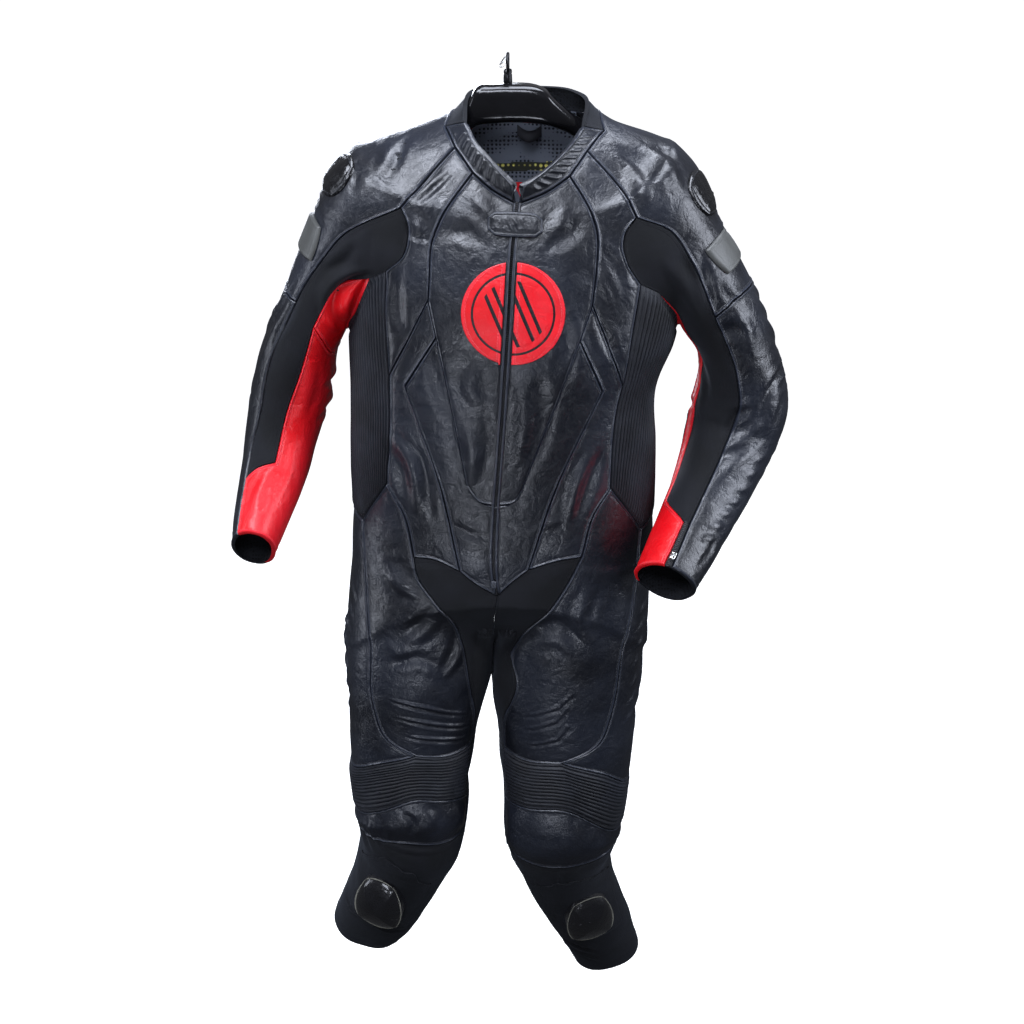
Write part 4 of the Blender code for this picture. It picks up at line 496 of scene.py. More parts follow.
# Seams of the neck, armpit and hip.
def bodySeams(side):
    one = (side,)
    spots = {name: np.array(place) / 1000 for name, place in cornerSpots[side].items()}
    seams = {name: seam(frontSteps[name], [front(x / 1000, z / 1000) for x, z in points])
             for name, points in frontSeams[side].items()}
    rear = back(*spots["rearArm"])
    hipRear = back(*spots["hipRear"])
    hipBack = back(backCentreX, hipBackZ)
    armSpots = [spots[name] for name in ("stretchEnd", "under", "armpit", "underBack")]
    end, under, armpit, underBack = settle(np.array(armSpots), one)
    neckSide, neckBack, neckMiddle = settle(np.array([spots["neckSide"], spots["neckBack"], neckBackSpot]))
    hipSide = settle(np.array([spots["hipSide"]]))[0]
    shoulderBlade = back(neckBack[0] + 0.045 * outSign[side], -0.135)
    seams["neckToSide"] = seam(2, [seams["collar"][-1], neckSide])
    seams["neckToBack"] = seam(4, [neckSide, neckBack])
    seams["neckBack"] = seam(4, [neckBack, neckMiddle])
    seams["raglanBack"] = seam(4, [neckBack, shoulderBlade, rear])
    seams["stretchEnd"] = seam(1, [seams["disc"][-1], end], one)
    seams["underFront"] = seam(4, [end, under, armpit], one)
    seams["underBack"] = seam(4, [armpit, underBack, rear], one)
    seams["ribEdgeBack"] = seam(6, [rear, back(rear[0] * 0.97, -0.42), hipRear])
    seams["hipToSide"] = seam(4, [seams["hip"][0], hipSide])
    seams["hipToRear"] = seam(5, [hipSide, hipRear])
    seams["hipBack"] = seam(4, [hipRear, hipBack])
    seams["neckSlot"] = shortened(seams["neck"], zipHalf)
    seams["bellySlot"] = shortened(seams["bellyEnd"][::-1], zipHalf)[::-1]
    seams["waistSlot"] = shortened(seams["waistEnd"][::-1], zipHalf)[::-1]
    shift = outSign[side] * zipHalf
    for name, steps, line, first, last in (
            ("zipEdge", 14, zipLine, seams["neckSlot"][0], seams["bellySlot"][-1]),
            ("zipEdgeLow", 2, zipLineLow, seams["bellySlot"][-1], seams["waistSlot"][-1])):
        middle = [front(x / 1000 + shift, z / 1000) for x, z in line[1:-1]]
        seams[name] = seam(steps, [first] + middle + [last])
    return seams


# Seams of the sleeve; those named in starts set out from a corner of the trunk's.
def sleeveSeams(side, seams):
    limb = ("sleeve", side)
    starts = dict(outerTop=seams["disc"][0], innerTop=seams["underFront"][0], rearTop=seams["underBack"][-1])
    for name, pairs in sleeveLines[side].items():
        path = list(settle(np.array(limbPath(limb, pairs)), (side,)))
        if name in starts:
            path.insert(0, starts[name])
        steps = 2 if name == "jog" and side == "left" else sleeveSteps[name]
        seams[name] = seam(steps, path, (side,))
    extra = dict(sleeveRings[side], **(gussetLines if side == "left" else {}))
    for name, (steps, pairs) in extra.items():
        seams[name] = limbSeam(limb, steps, pairs)


# Seams of the leg and the crotch.
def legSeams(side, seams):
    limb = ("leg", side)
    paths = {name: limbPath(limb, pairs) for name, pairs in legLines[side].items()}
    edge = [front(x / 1000, z / 1000) for x, z in crotchEdge[side]]
    paths["side"].insert(0, seams["hipToSide"][-1])
    paths["rear"].insert(0, seams["hipToRear"][-1])
    low = betweenLegs(crotchLow)
    for name, steps in legSteps.items():
        path = paths[name]
        fixed = 1 if name in ("side", "rear") else 0
        path = path[:fixed] + list(settle(np.array(path[fixed:]), (side,)))
        seams[name] = seam(steps, path, (side,))
    inner = list(settle(np.array(paths["inner"]), (side,)))
    seams["crotchEdge"] = seam(9, edge + inner, (side,))
    seams["crotchMiddle"] = seam(4, [seams["waistEnd"][-1]] + [betweenLegs(a) for a in (30, 55, 75)] + [low])
    seams["seatMiddle"] = seam(6, [seams["hipBack"][-1]] + [betweenLegs(a) for a in (165, 140, 115)] + [low])
    thighIn = settle(np.array(limbPath(limb, [(200, 262), (250, 250)])), (side,))
    seams["insideLeg"] = seam(5, [low, *thighIn, seams["kneeInside"][0]], (side,))
    along = limbRails[limb]["length"] * np.array([0.68, 0.82])
    for place, end, upper, degrees in (("Inner", 0, "kneeFront", -80), ("Outer", -1, "kneeSide", 124)):
        seams["ribs" + place] = seam(2, [seams[upper][end], seams["ribsLow"][end]], (side,))
        seams["cup" + place] = seam(2, [seams["ribsLow"][end], seams["cupLow"][end]], (side,))
        middle = settle(onLimb(limb, along, np.full(2, degrees)), (side,))
        seams["shin" + place] = seam(6, [seams["cupLow"][end], *middle, seams["hem"][end]], (side,))


# Positions of a panel's grid lines in steps of its seams, closer together beside the seams.
def gridLines(steps, even=0):
    if even:
        return np.arange(even * steps + 1) / even
    head = np.array([0, 0.22, 0.5, 0.8, 1.2, 1.7, 2.3])
    count = fineSteps * steps
    middle = np.arange(3, count - 2)
    return np.concatenate([head, middle, count - head[::-1]]) / fineSteps


# A seam's point at each grid line: straight between the fine points of the seam.
def onSeam(curve, lines):
    at = lines * fineSteps
    i = np.clip(at.astype(int), 0, len(curve) - 2)
    return curve[i] + (at - i)[:, None] * (curve[i + 1] - curve[i])


# Coons patch: the two ruled surfaces between opposite sides, less the flat one through the corners.
def fill(top, bottom, left, right, u=None, v=None):
    u = (np.linspace(0, 1, len(top)) if u is None else u)[None, :, None]
    v = (np.linspace(0, 1, len(left)) if v is None else v)[:, None, None]
    rows = (1 - v) * top[None] + v * bottom[None]
    columns = (1 - u) * left[:, None] + u * right[:, None]
    corners = (1 - v) * ((1 - u) * top[0] + u * top[-1]) + v * ((1 - u) * bottom[0] + u * bottom[-1])
    return rows + columns - corners


# Put the inner points of a grid on the form and even them out.
def relax(grid, sides, rounds=4):
    if min(grid.shape[:2]) < 3:
        return grid
    grid[1:-1, 1:-1] = settle(grid[1:-1, 1:-1], sides)
    for _ in range(rounds):
        around = grid[:-2, 1:-1] + grid[2:, 1:-1] + grid[1:-1, :-2] + grid[1:-1, 2:]
        grid[1:-1, 1:-1] = settle((grid[1:-1, 1:-1] + around / 4) / 2, sides, rounds=3)
    return grid


# Values of a coarse grid at fractional rows: cubic between the rows, with slopes from their neighbours.
def between(values, at):
    slope = np.gradient(values, axis=0)
    i = np.clip(at.astype(int), 0, len(values) - 2)
    return hermite((at - i)[:, None, None], values[i], values[i + 1], slope[i], slope[i + 1])


# The fine grid of a panel: the patch between its fine seams, moved as the coarse one was, then on the form.
def refine(coarse, seams, sides, lines=(None, None)):
    top, bottom, left, right = seams
    acrossLines = gridLines(coarse.shape[1] - 1) if lines[0] is None else lines[0]
    downLines = gridLines(coarse.shape[0] - 1) if lines[1] is None else lines[1]
    shift = coarse - fill(*[curve[::fineSteps] for curve in seams])
    shift = between(between(shift, downLines).transpose(1, 0, 2), acrossLines).transpose(1, 0, 2)
    fine = shift + fill(onSeam(top, acrossLines), onSeam(bottom, acrossLines), onSeam(left, downLines),
                        onSeam(right, downLines), acrossLines / acrossLines[-1], downLines / downLines[-1])
    points = fine[1:-1, 1:-1].reshape(-1, 3)
    slope = formSlope(points, sides)
    weight = np.maximum((slope**2).sum(1), 0.05)
    for _ in range(3):
        points = points - slope * (np.clip(formDistance(points, sides), -0.01, 0.01) / weight)[:, None]
    fine[1:-1, 1:-1] = points.reshape(fine[1:-1, 1:-1].shape)
    return fine


# Patch on the trunk, with guide curves given as (column, points) where it turns round the body.
def bodyGrid(top, bottom, left, right, sides, guides=(), rounds=4, lines=(None, None)):
    seams = (top, bottom, left, right)
    top, bottom, left, right = (curve[::fineSteps] for curve in seams)
    strips = []
    stops = [(0, left)]
    for column, points in guides:
        path = [top[column], *points, bottom[column]]
        stops.append((column, seam(len(left) - 1, path, sides)[::fineSteps]))
    stops.append((len(top) - 1, right))
    for (first, start), (last, end) in zip(stops[:-1], stops[1:]):
        strip = fill(top[first:last + 1], bottom[first:last + 1], start, end)
        strips.append(strip if first == 0 else strip[:, 1:])
    return refine(relax(np.concatenate(strips, 1), sides, rounds), seams, sides, lines)


# Patch that wraps a limb, filled in the limb's own distance and angle.
def limbGrid(limb, middle, top, bottom, left, right, lines=(None, None)):
    seams = (top, bottom, left, right)
    top, bottom, left, right = (curve[::fineSteps] for curve in seams)
    flat = []
    for curve in (top, bottom, left, right):
        flat.append(np.stack(limbCoordinates(limb, curve, middle), 1))
    inner = fill(*flat)[1:-1, 1:-1].reshape(-1, 2)
    grid = fill(top, bottom, left, right)
    grid[1:-1, 1:-1] = onLimb(limb, inner[:, 0], inner[:, 1]).reshape(len(left) - 2, len(top) - 2, 3)
    return refine(relax(grid, (limb[1],), rounds=1), seams, (limb[1],), lines)


# Soft random heights in space: eight corners of a cell blended by a smooth step.
def lumps(points, cell, seed):
    corners = np.random.default_rng(seed).uniform(-1, 1, (32, 32, 32))
    at = points / cell + 1000.5
    low = np.floor(at).astype(int)
    t = at - low
    t = t * t * (3 - 2 * t)
    height = 0.0
    for corner in np.ndindex(2, 2, 2):
        share = np.where(corner, t, 1 - t)
        height = height + share.prod(1) * corners[tuple((low + corner).T % 32)]
    return height


# Distance of points from a path, and how far along it (0 to 1) the nearest place is.
def fromPath(points, path):
    run = lengths(path)
    best = np.full(len(points), 1e9)
    along = np.zeros(len(points))
    for a, b, start, step in zip(path[:-1], path[1:], run[:-1], np.diff(run)):
        t = np.clip((points - a) @ (b - a) / step**2, 0, 1)
        away = np.linalg.norm(points - a - t[:, None] * (b - a), axis=1)
        along = np.where(away < best, start + t * step, along)
        best = np.minimum(best, away)
    return best, along / run[-1]


# Below the crotch the two legs' cloth swells until it nearly touches on a wavy plane between them:
# the plane's x at height -0.80 and its lean, its wave in y and z, and where the swelling fades out.
touch = dict(x=-0.017, lean=0.105, wave=0.0022, perY=115, perZ=45, spare=0.0004, reach=0.028,
             low=-0.970, fade=0.085, high=-0.79)


# Height of the cloth over the smooth form: broad waves and lumps, and each crease as a soft trough or
# ridge, exp(-s*s) of the distance s in widths from its line, with a low shoulder of the other sign beside
# it. Between the legs the height gives way to the distance from the plane where they meet.
def foldHeight(points):
    shape = points.shape[:-1]
    points = points.reshape(-1, 3)
    x, y, z = points.T
    bent = points + 0.012 * np.stack([lumps(points, 0.11, k) for k in (3, 4, 5)], 1)
    height = waves["broad"] * lumps(bent, 0.085, 1) + waves["small"] * lumps(bent * (1, 1, 0.7), 0.034, 2)
    for path, depth, width in creases:
        reach = 3.2 * width
        near = np.flatnonzero(np.all((points > path.min(0) - reach) & (points < path.max(0) + reach), 1))
        if not len(near):
            continue
        away, along = fromPath(points[near], path)
        s = away / (width * (0.75 + 0.5 * np.sin(math.pi * along)))
        rise = np.exp(-s**2) - 0.38 * np.exp(-1.5 * (s - 1.7) ** 2)
        height[near] += depth * np.sin(math.pi * np.clip(along, 0.02, 0.98)) ** 0.7 * rise
    wave = touch["wave"] * np.sin(touch["perY"] * y + touch["perZ"] * z)
    middle = touch["x"] + touch["lean"] * (z + 0.80) + wave
    apart = np.clip(np.abs(x - middle) - touch["spare"], 0, touch["reach"])
    pull = np.clip((z - touch["low"]) / touch["fade"], 0, 1) * (z < touch["high"])
    pull = pull * (1 - (apart / touch["reach"]) ** 2)
    return (height * (1 - pull) + pull * apart).reshape(shape)


# Relief beside a panel's own edge, in mm: the cloth dips into the seam, rolls up over its folded
# allowance, dips again at the row of stitches and then swells slowly towards the panel's middle.
def seamRelief(edge, band=1.0, swell=1.0):
    mm = edge * 1000
    dip = -1.7 * np.exp(-(mm / 0.8) ** 2)
    roll = 1.35 * band * np.exp(-((mm - 2.3) / 1.4) ** 2) - 0.55 * band * np.exp(-((mm - 5.0) / 0.9) ** 2)
    return (dip + roll + 1.9 * swell * (1 - np.exp(-mm / 24)) - 1.2 * swell) / 1000


# Distance along each row of a grid from its left edge, and down each column from its top edge.
def lengthsAcross(grid):
    steps = np.linalg.norm(np.diff(grid, axis=1), axis=2)
    return np.concatenate([np.zeros((len(grid), 1)), np.cumsum(steps, 1)], 1)


def lengthsDown(grid):
    return lengthsAcross(grid.transpose(1, 0, 2)).T


# Distance of each grid point from the panel's edges, how far it lies along the nearest one, and the
# grid's mean width and length.
def edgeDistance(grid, skip=()):
    across, down = lengthsAcross(grid), lengthsDown(grid)
    sides = dict(left=(across, down), right=(across[:, -1:] - across, down),
                 top=(down, across), bottom=(down[-1:] - down, across))
    away, ways = (np.stack(found) for found in zip(*[sides[name] for name in sides if name not in skip]))
    along = np.take_along_axis(ways, away.argmin(0)[None], 0)[0]
    return away.min(0), along, across[:, -1].mean(), down[-1].mean()


# The form's own outward direction at each grid point.
def unitNormals(grid, sides):
    return unit(formSlope(grid.reshape(-1, 3), sides)).reshape(grid.shape)


# Upright of each cell of a grid, as long as the cell is large.
def cellNormals(grid):
    return np.cross(grid[1:, :-1] - grid[:-1, :-1], grid[:-1, 1:] - grid[:-1, :-1])


# A grid moved onto the form.
def settleGrid(grid, sides=both, **settings):
    return settle(grid.reshape(-1, 3), sides, **settings).reshape(grid.shape)


# A closed wall from an outer and an inner grid: quads outside, every strideth line inside, and a rim
# of flat faces round the outline. noRim gives, for an edge that joins another grid, how many of its
# steps have no rim.
def wallFaces(shape, stride=1, start=0, noRim=None):
    outer = np.arange(shape[0] * shape[1]).reshape(shape)
    small = [(size - 1) // stride + 1 for size in shape]
    inner = outer.size + np.arange(small[0] * small[1]).reshape(small)
    quads = lambda ids: np.stack([ids[:-1, :-1], ids[1:, :-1], ids[1:, 1:], ids[:-1, 1:]], -1).reshape(-1, 4)
    faces = (quads(outer) + start).tolist()
    lining = (quads(inner)[:, ::-1] + start).tolist()
    rims = dict(top=(outer[0][::-1], inner[0][::-1]), bottom=(outer[-1], inner[-1]),
                left=(outer[:, 0], inner[:, 0]), right=(outer[:, -1][::-1], inner[:, -1][::-1]))
    rim = []
    for name, (long, short) in rims.items():
        places = np.arange(0, len(long) - 1, stride)[:, None] + np.arange(stride + 1)
        loop = np.concatenate([long[places], short[1:][:, None], short[:-1][:, None]], 1)[:, ::-1] + start
        rim += loop[(noRim or {}).get(name, 0) // stride:].tolist()
    return faces, lining, rim


# Build a mesh object that stands for nodes; finishes are its materials, and which gives each face its own.
def addPiece(name, nodes, points, faces, finishes, which=None, body="suit", seamAt=None,
             weld=2e-6, sharp=48):
    shape = bpy.data.meshes.new(name)
    shape.from_pydata(np.asarray(points).tolist(), [], faces)
    if which is not None:
        shape.polygons.foreach_set("material_index", np.asarray(which, np.int32))
    if seamAt is not None:
        layer = shape.attributes.new("seamAt", "FLOAT_VECTOR", "POINT")
        layer.data.foreach_set("vector", np.asarray(seamAt, np.float32).ravel())
    if weld:
        joined = bmesh.new()
        joined.from_mesh(shape)
        bmesh.ops.remove_doubles(joined, verts=joined.verts, dist=weld)
        joined.to_mesh(shape)
        joined.free()
    shape.shade_smooth()
    shape.set_sharp_from_angle(angle=math.radians(sharp))
    for finish in finishes:
        shape.materials.append(finish)
    piece = bpy.data.objects.new(name, shape)
    bpy.context.collection.objects.link(piece)
    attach(piece, body)
    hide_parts(*nodes)
    return piece


# Clamp a hung piece's area between a narrow shape's and the full rectangle's; the result is not kept.
def hang(wide, long, area):
    area = float(np.clip(area, 0.301 * wide * long, wide * long))


# One panel of the suit: its grids displaced by the folds and its own seam relief, closed into a wall.
# A second grid goes on from the first one's last row, past the seam called corner.
def panel(node, grids, sides, finish, relief=None, band=1.0, swell=1.0, skip=(), corner=None,
          standing=None, fullness=1.0):
    wall = cloth["stretch"] if finish in ("stretch", "ribbed", "tape") else cloth["leather"]
    walls, seamAt, facesOf, area, wide, long, start = [], [], [[], [], []], 0.0, 0.0, 0.0, 0
    for index, grid in enumerate(grids):
        shared = len(grids) > 1 and (("bottom",), ("top",))[index] or skip
        stride = mesh["stride"] if all((size - 1) % mesh["stride"] == 0 for size in grid.shape[:2]) else 1
        normals = unitNormals(grid, sides) if standing is None else standing
        edge, along, width, length = edgeDistance(grid, shared)
        if index:
            edge = np.minimum(edge, fromPath(grid.reshape(-1, 3), corner)[0].reshape(edge.shape))
        folds = foldHeight(grid)
        height = folds + seamRelief(edge, band, swell)
        if relief is not None:
            height = height + relief(grid, edge)
        moved = grid.copy()
        for name, a, b in (("top", 0, 1), ("bottom", -1, -2)):
            if name not in shared:
                moved[a] += cloth["gap"] / 2 * unit(grid[b] - grid[a])
        for a, b in ((0, 1), (-1, -2)):
            moved[:, a] += cloth["gap"] / 2 * unit(grid[:, b] - grid[:, a])
        outer = moved + height[..., None] * normals
        low = np.minimum(folds + seamRelief(edge, 0, swell), height) - wall
        inner = (moved + low[..., None] * normals)[::stride, ::stride]
        if index:
            for now, before in zip((outer, inner), walls):
                now[0, -before.shape[1]:] = before[-1]
        count = grids[0].shape[1] - 1
        noRim = (dict(bottom=count), dict(top=count))[index] if len(grids) > 1 else {}
        cells = cellNormals(grid)
        flip = -1 if (cells * normals[:-1, :-1]).sum() < 0 else 1
        for found, faces in zip(facesOf, wallFaces(grid.shape[:2], stride, start, noRim)):
            found += [face[::flip] for face in faces]
        walls += [outer, inner]
        at = np.stack([along, edge, np.zeros_like(edge)], -1)
        seamAt += [at.reshape(-1, 3), at[::stride, ::stride].reshape(-1, 3)]
        start += outer[..., 0].size + inner[..., 0].size
        area += float(np.linalg.norm(cells, axis=2).sum())
        wide, long = max(wide, width), long + length
    points = np.concatenate([part.reshape(-1, 3) for part in walls])
    which = np.repeat([0, 1, 0], [len(faces) for faces in facesOf])
    kinds = [finishes[finish], finishes["inside"]]
    piece = addPiece(node + "_cloth", [node], points, sum(facesOf, []), kinds, which,
                     seamAt=np.concatenate(seamAt))
    hang(max(wide * fullness, 0.0102), long, area * fullness)
    return piece


# Linear colour of an sRGB hex value.
def colour(hexValue):
    channels = [int(hexValue[i:i + 2], 16) / 255 for i in (1, 3, 5)]
    return (*[c / 12.92 if c <= 0.04045 else ((c + 0.055) / 1.055) ** 2.4 for c in channels], 1.0)


# Add a shader node and give back one of its outputs. Inputs are numbers or other nodes' outputs, in the
# order of its sockets or by name; settings are the node's own properties.
def addNode(tree, kind, *inputs, out=0, **settings):
    made = tree.nodes.new("ShaderNode" + kind)
    for name, value in settings.items():
        setattr(made, name, value)
    named = inputs and isinstance(inputs[0], dict)
    for name, value in inputs[0].items() if named else enumerate(inputs):
        if isinstance(value, bpy.types.NodeSocket):
            tree.links.new(value, made.inputs[name])
        else:
            made.inputs[name].default_value = value
    return made.outputs[out]


# A new material with its shader: every fixed value is set on the shader's own sockets.
def newFinish(name, roughness, **values):
    finish = bpy.data.materials.new(name)
    finish.use_nodes = True
    tree = finish.node_tree
    shader = tree.nodes["Principled BSDF"]
    shader.inputs["Roughness"].default_value = roughness
    for socket, value in values.items():
        shader.inputs[socket.replace("_", " ")].default_value = value
    return finish, tree, shader, addNode(tree, "TexCoord", out="Object")


smooth = dict(interpolation_type="SMOOTHSTEP")      # for a map range
blend = dict(out=2, data_type="RGBA")               # for a mix: 0 is the share, 6 and 7 the colours


# A row of thread beside each seam, from the distance to the seam and the run along it.
def threadRow(tree, row=0.0050, pitch=0.0042):
    seamAt = addNode(tree, "Attribute", out="Vector", attribute_name="seamAt")
    run, edge, printed = addNode(tree, "SeparateXYZ", seamAt).node.outputs
    away = addNode(tree, "Math", addNode(tree, "Math", edge, row, operation="SUBTRACT"), operation="ABSOLUTE")
    across = addNode(tree, "MapRange", away, 0.0003, 0.0009, 1.0, 0.0, **smooth)
    beat = addNode(tree, "Math", run, pitch / 2, operation="PINGPONG")
    dash = addNode(tree, "MapRange", beat, 0.0003, 0.0007, **smooth)
    return addNode(tree, "Math", across, dash, operation="MULTIPLY"), edge, printed


# A finish's fine relief: the sum of its patterns, each times its height in metres, bends the normal.
def carve(tree, shader, *patterns):
    height = 0.0
    for pattern, metres in patterns:
        height = addNode(tree, "Math", pattern, metres, height, operation="MULTIPLY_ADD")
    bump = addNode(tree, "Bump", {"Strength": 1.0, "Distance": 1.0, "Height": height})
    tree.links.new(bump, shader.inputs["Normal"])


# Full-grain cowhide, drum dyed and finished with a thin satin film: fine pebbled grain, soft
# draw marks, and a paler colour where seams stand proud, partly rubbed wear and partly a painted highlight.
def leatherFinish(name, body, wornAndHighlitColour, roughness, grain=1.0, specular=0.6, threadColour="#2e3035"):
    finish, tree, shader, place = newFinish(name, roughness, Specular_IOR_Level=specular, IOR=1.5)
    # grain of about 1 mm, drawn twice as coarse; draw marks about 20 mm apart
    pebbles = addNode(tree, "TexVoronoi", {"Vector": place, "Scale": 1 / 0.0021, "Randomness": 1.0},
                      out="Distance", feature="SMOOTH_F1")
    fine = addNode(tree, "TexNoise", {"Vector": place, "Scale": 1 / 0.0045, "Detail": 4.0, "Roughness": 0.6})
    draw = addNode(tree, "TexNoise", {"Vector": place, "Scale": 1 / 0.022, "Detail": 5.0, "Roughness": 0.55,
                                      "Distortion": 0.7})
    patches = addNode(tree, "TexNoise", {"Vector": place, "Scale": 1 / 0.075, "Detail": 4.0,
                                         "Distortion": 0.5})
    broad = addNode(tree, "TexNoise", {"Vector": place, "Scale": 1 / 0.16, "Detail": 3.0})
    thread, edge, printed = threadRow(tree)
    carve(tree, shader, (pebbles, 0.00016 * grain), (fine, 0.00022 * grain), (draw, 0.0019),
          (patches, 0.0040), (thread, 0.0004))
    # Painted highlight and wear: paler colour on each seam's raised roll, plus broad random paler patches of
    # the hide's own tone.
    wearAndHighlight = addNode(tree, "Math", addNode(tree, "MapRange", edge, 0.0008, 0.0020, **smooth),
                  addNode(tree, "MapRange", edge, 0.0028, 0.0046, 0.8, 0.0, **smooth), operation="MULTIPLY")
    wearAndHighlight = addNode(tree, "Math", wearAndHighlight, addNode(tree, "MapRange", broad, 0.4, 0.62, 0.0, 0.45, **smooth),
                  operation="ADD", use_clamp=True)
    base = addNode(tree, "Mix", {0: wearAndHighlight, 6: colour(body), 7: colour(wornAndHighlitColour)}, **blend)
    stitched = addNode(tree, "Math", thread, 0.7, operation="MULTIPLY")
    base = addNode(tree, "Mix", {0: stitched, 6: base, 7: colour(threadColour)}, **blend)
    dark = addNode(tree, "MapRange", printed, 0.46, 0.54, **smooth)
    base = addNode(tree, "Mix", {0: dark, 6: base, 7: colour("#101013")}, **blend)
    gloss = addNode(tree, "MapRange", addNode(tree, "Math", draw, fine, operation="ADD"), 0.7, 1.3,
                    roughness - 0.07, roughness + 0.10, **smooth)
    tree.links.new(base, shader.inputs["Base Color"])
    tree.links.new(gloss, shader.inputs["Roughness"])
    return finish


# Neoprene-backed polyamide knit: matt, with a close even mesh of loops and a faint bloom at grazing light.
def knitFinish(name, body, pale, roughness, loops=0.0016, depth=0.00022, sheen=0.25):
    finish, tree, shader, place = newFinish(name, roughness, Specular_IOR_Level=0.28, Sheen_Weight=sheen,
                                            Sheen_Roughness=0.5, Sheen_Tint=colour("#8c94a4"))
    stitch = addNode(tree, "TexVoronoi", {"Vector": place, "Scale": 1 / loops, "Randomness": 0.25},
                     out="Distance")
    soft = addNode(tree, "TexNoise", {"Vector": place, "Scale": 1 / 0.05, "Detail": 3.0})
    carve(tree, shader, (stitch, depth), (soft, 0.0012), (threadRow(tree)[0], 0.0003))
    bloom = addNode(tree, "MapRange", soft, 0.35, 0.7, **smooth)
    base = addNode(tree, "Mix", {0: bloom, 6: colour(body), 7: colour(pale)}, **blend)
    tree.links.new(base, shader.inputs["Base Color"])
    return finish


# Warp-knitted spacer mesh: a dark net of small round holes.
def meshFinish(name, body, hole, pitch=0.0042):
    finish, tree, shader, place = newFinish(name, 0.8, Specular_IOR_Level=0.3)
    cell = addNode(tree, "TexVoronoi", {"Vector": place, "Scale": 1 / pitch, "Randomness": 0.15},
                   out="Distance")
    holes = addNode(tree, "MapRange", cell, 0.22, 0.42, 1.0, 0.0, **smooth)
    carve(tree, shader, (holes, -0.0006))
    base = addNode(tree, "Mix", {0: holes, 6: colour(body), 7: colour(hole)}, **blend)
    tree.links.new(base, shader.inputs["Base Color"])
    return finish


# Moulded plastic or plated metal with a faint unevenness left by the mould or the polishing.
def mouldedFinish(name, body, roughness, uneven=0.0001, size=0.03, metallic=0.0, coat=0.0):
    finish, tree, shader, place = newFinish(name, roughness, Metallic=metallic, Coat_Weight=coat,
                                            Coat_Roughness=0.05)
    wavy = addNode(tree, "TexNoise", {"Vector": place, "Scale": 1 / size, "Detail": 3.0})
    speck = addNode(tree, "TexNoise", {"Vector": place, "Scale": 1 / 0.0015, "Detail": 2.0})
    carve(tree, shader, (wavy, uneven * 10), (speck, uneven * 0.3))
    deep = tuple(c * 0.72 for c in colour(body)[:3]) + (1.0,)
    cloudy = addNode(tree, "MapRange", wavy, 0.3, 0.7, **smooth)
    base = addNode(tree, "Mix", {0: cloudy, 6: colour(body), 7: deep}, **blend)
    gloss = addNode(tree, "MapRange", speck, 0.3, 0.7, max(roughness - 0.03, 0.02), roughness + 0.04,
                    **smooth)
    tree.links.new(base, shader.inputs["Base Color"])
    tree.links.new(gloss, shader.inputs["Roughness"])
    return finish


finishes = dict(
    leather=leatherFinish("black cowhide, satin", "#0f1117", "#272b35", 0.35),
    red=leatherFinish("red cowhide, satin", "#cc0611", "#dc2430", 0.40, 0.8, 0.45, "#e0404a"),
    stretch=knitFinish("black neoprene knit", "#08090c", "#0e0f14", 0.85, sheen=0.12),
    ribbed=knitFinish("black shirred stretch", "#141519", "#202228", 0.55, 0.0013, 0.00012, 0.1),
    tape=knitFinish("black zip tape, woven", "#0d0d0f", "#141416", 0.7, 0.0010, 0.00015, 0.1),
    inside=meshFinish("dark mesh lining", "#1b1d22", "#050506"),
    lining=meshFinish("neck mesh lining", "#5f646f", "#16181d", 0.0056),
    cap=leatherFinish("black moulded leather, gloss", "#08080a", "#141518", 0.22, 0.2, 0.6),
    plastic=mouldedFinish("black ABS, gloss moulded", "#0c0c0e", 0.14, 0.00012, 0.05),
    puck=mouldedFinish("smoked polycarbonate", "#161619", 0.30, 0.0002, 0.022, coat=0.8),
    rim=mouldedFinish("clear polycarbonate rim", "#8b8a80", 0.18, 0.00005),
    grey=mouldedFinish("grey TPU, matt moulded", "#4b4c4a", 0.50, 0.00008),
    steel=mouldedFinish("nickel plated steel", "#c6c6c2", 0.24, 0.00003, metallic=1.0),
    darkSteel=mouldedFinish("black oxide steel", "#2a2a2c", 0.35, 0.00003, metallic=0.9),
    loop=knitFinish("black woven loop", "#1a1a1e", "#2c2c31", 0.75, 0.0012, 0.0002, 0.1),
    strip=meshFinish("yellow knitted strip", "#2c2d26", "#e8de74", 0.0075),
)
print("finishes made:", len(finishes))


# Where lines of sight through places in the camera's frame first meet the form.
def seenAt(places):
    down = math.radians(camera["down"])
    ahead = np.array([0.0, math.cos(down), -math.sin(down)])
    above = np.array([0.0, math.sin(down), math.cos(down)])
    focal = camera["lens"] / camera["sensor"] * camera["frame"]
    right, low = (np.asarray(places, float) - camera["frame"] / 2).T[..., None] / focal
    ways = ahead + right * np.array([1.0, 0, 0]) - low * above
    eye = np.array(camera["place"])
    run = np.linspace(1.8, 2.9, 160)
    depth = formDistance((eye + ways[:, None] * run[:, None]).reshape(-1, 3)).reshape(len(ways), -1)
    inside = depth <= 0
    far = np.where(inside.any(1), run[inside.argmax(1)], run[depth.argmin(1)])
    near = far - (run[1] - run[0]) * inside.any(1)
    for _ in range(12):
        half = (near + far) / 2
        hit = formDistance(eye + ways * half[:, None]) <= 0
        far, near = np.where(hit, half, far), np.where(hit, near, half)
    return eye + ways * far[:, None]


# Points of the back, given as (x, z) in mm.
def backAt(places):
    return np.array([back(x / 1000, z / 1000) for x, z in places])
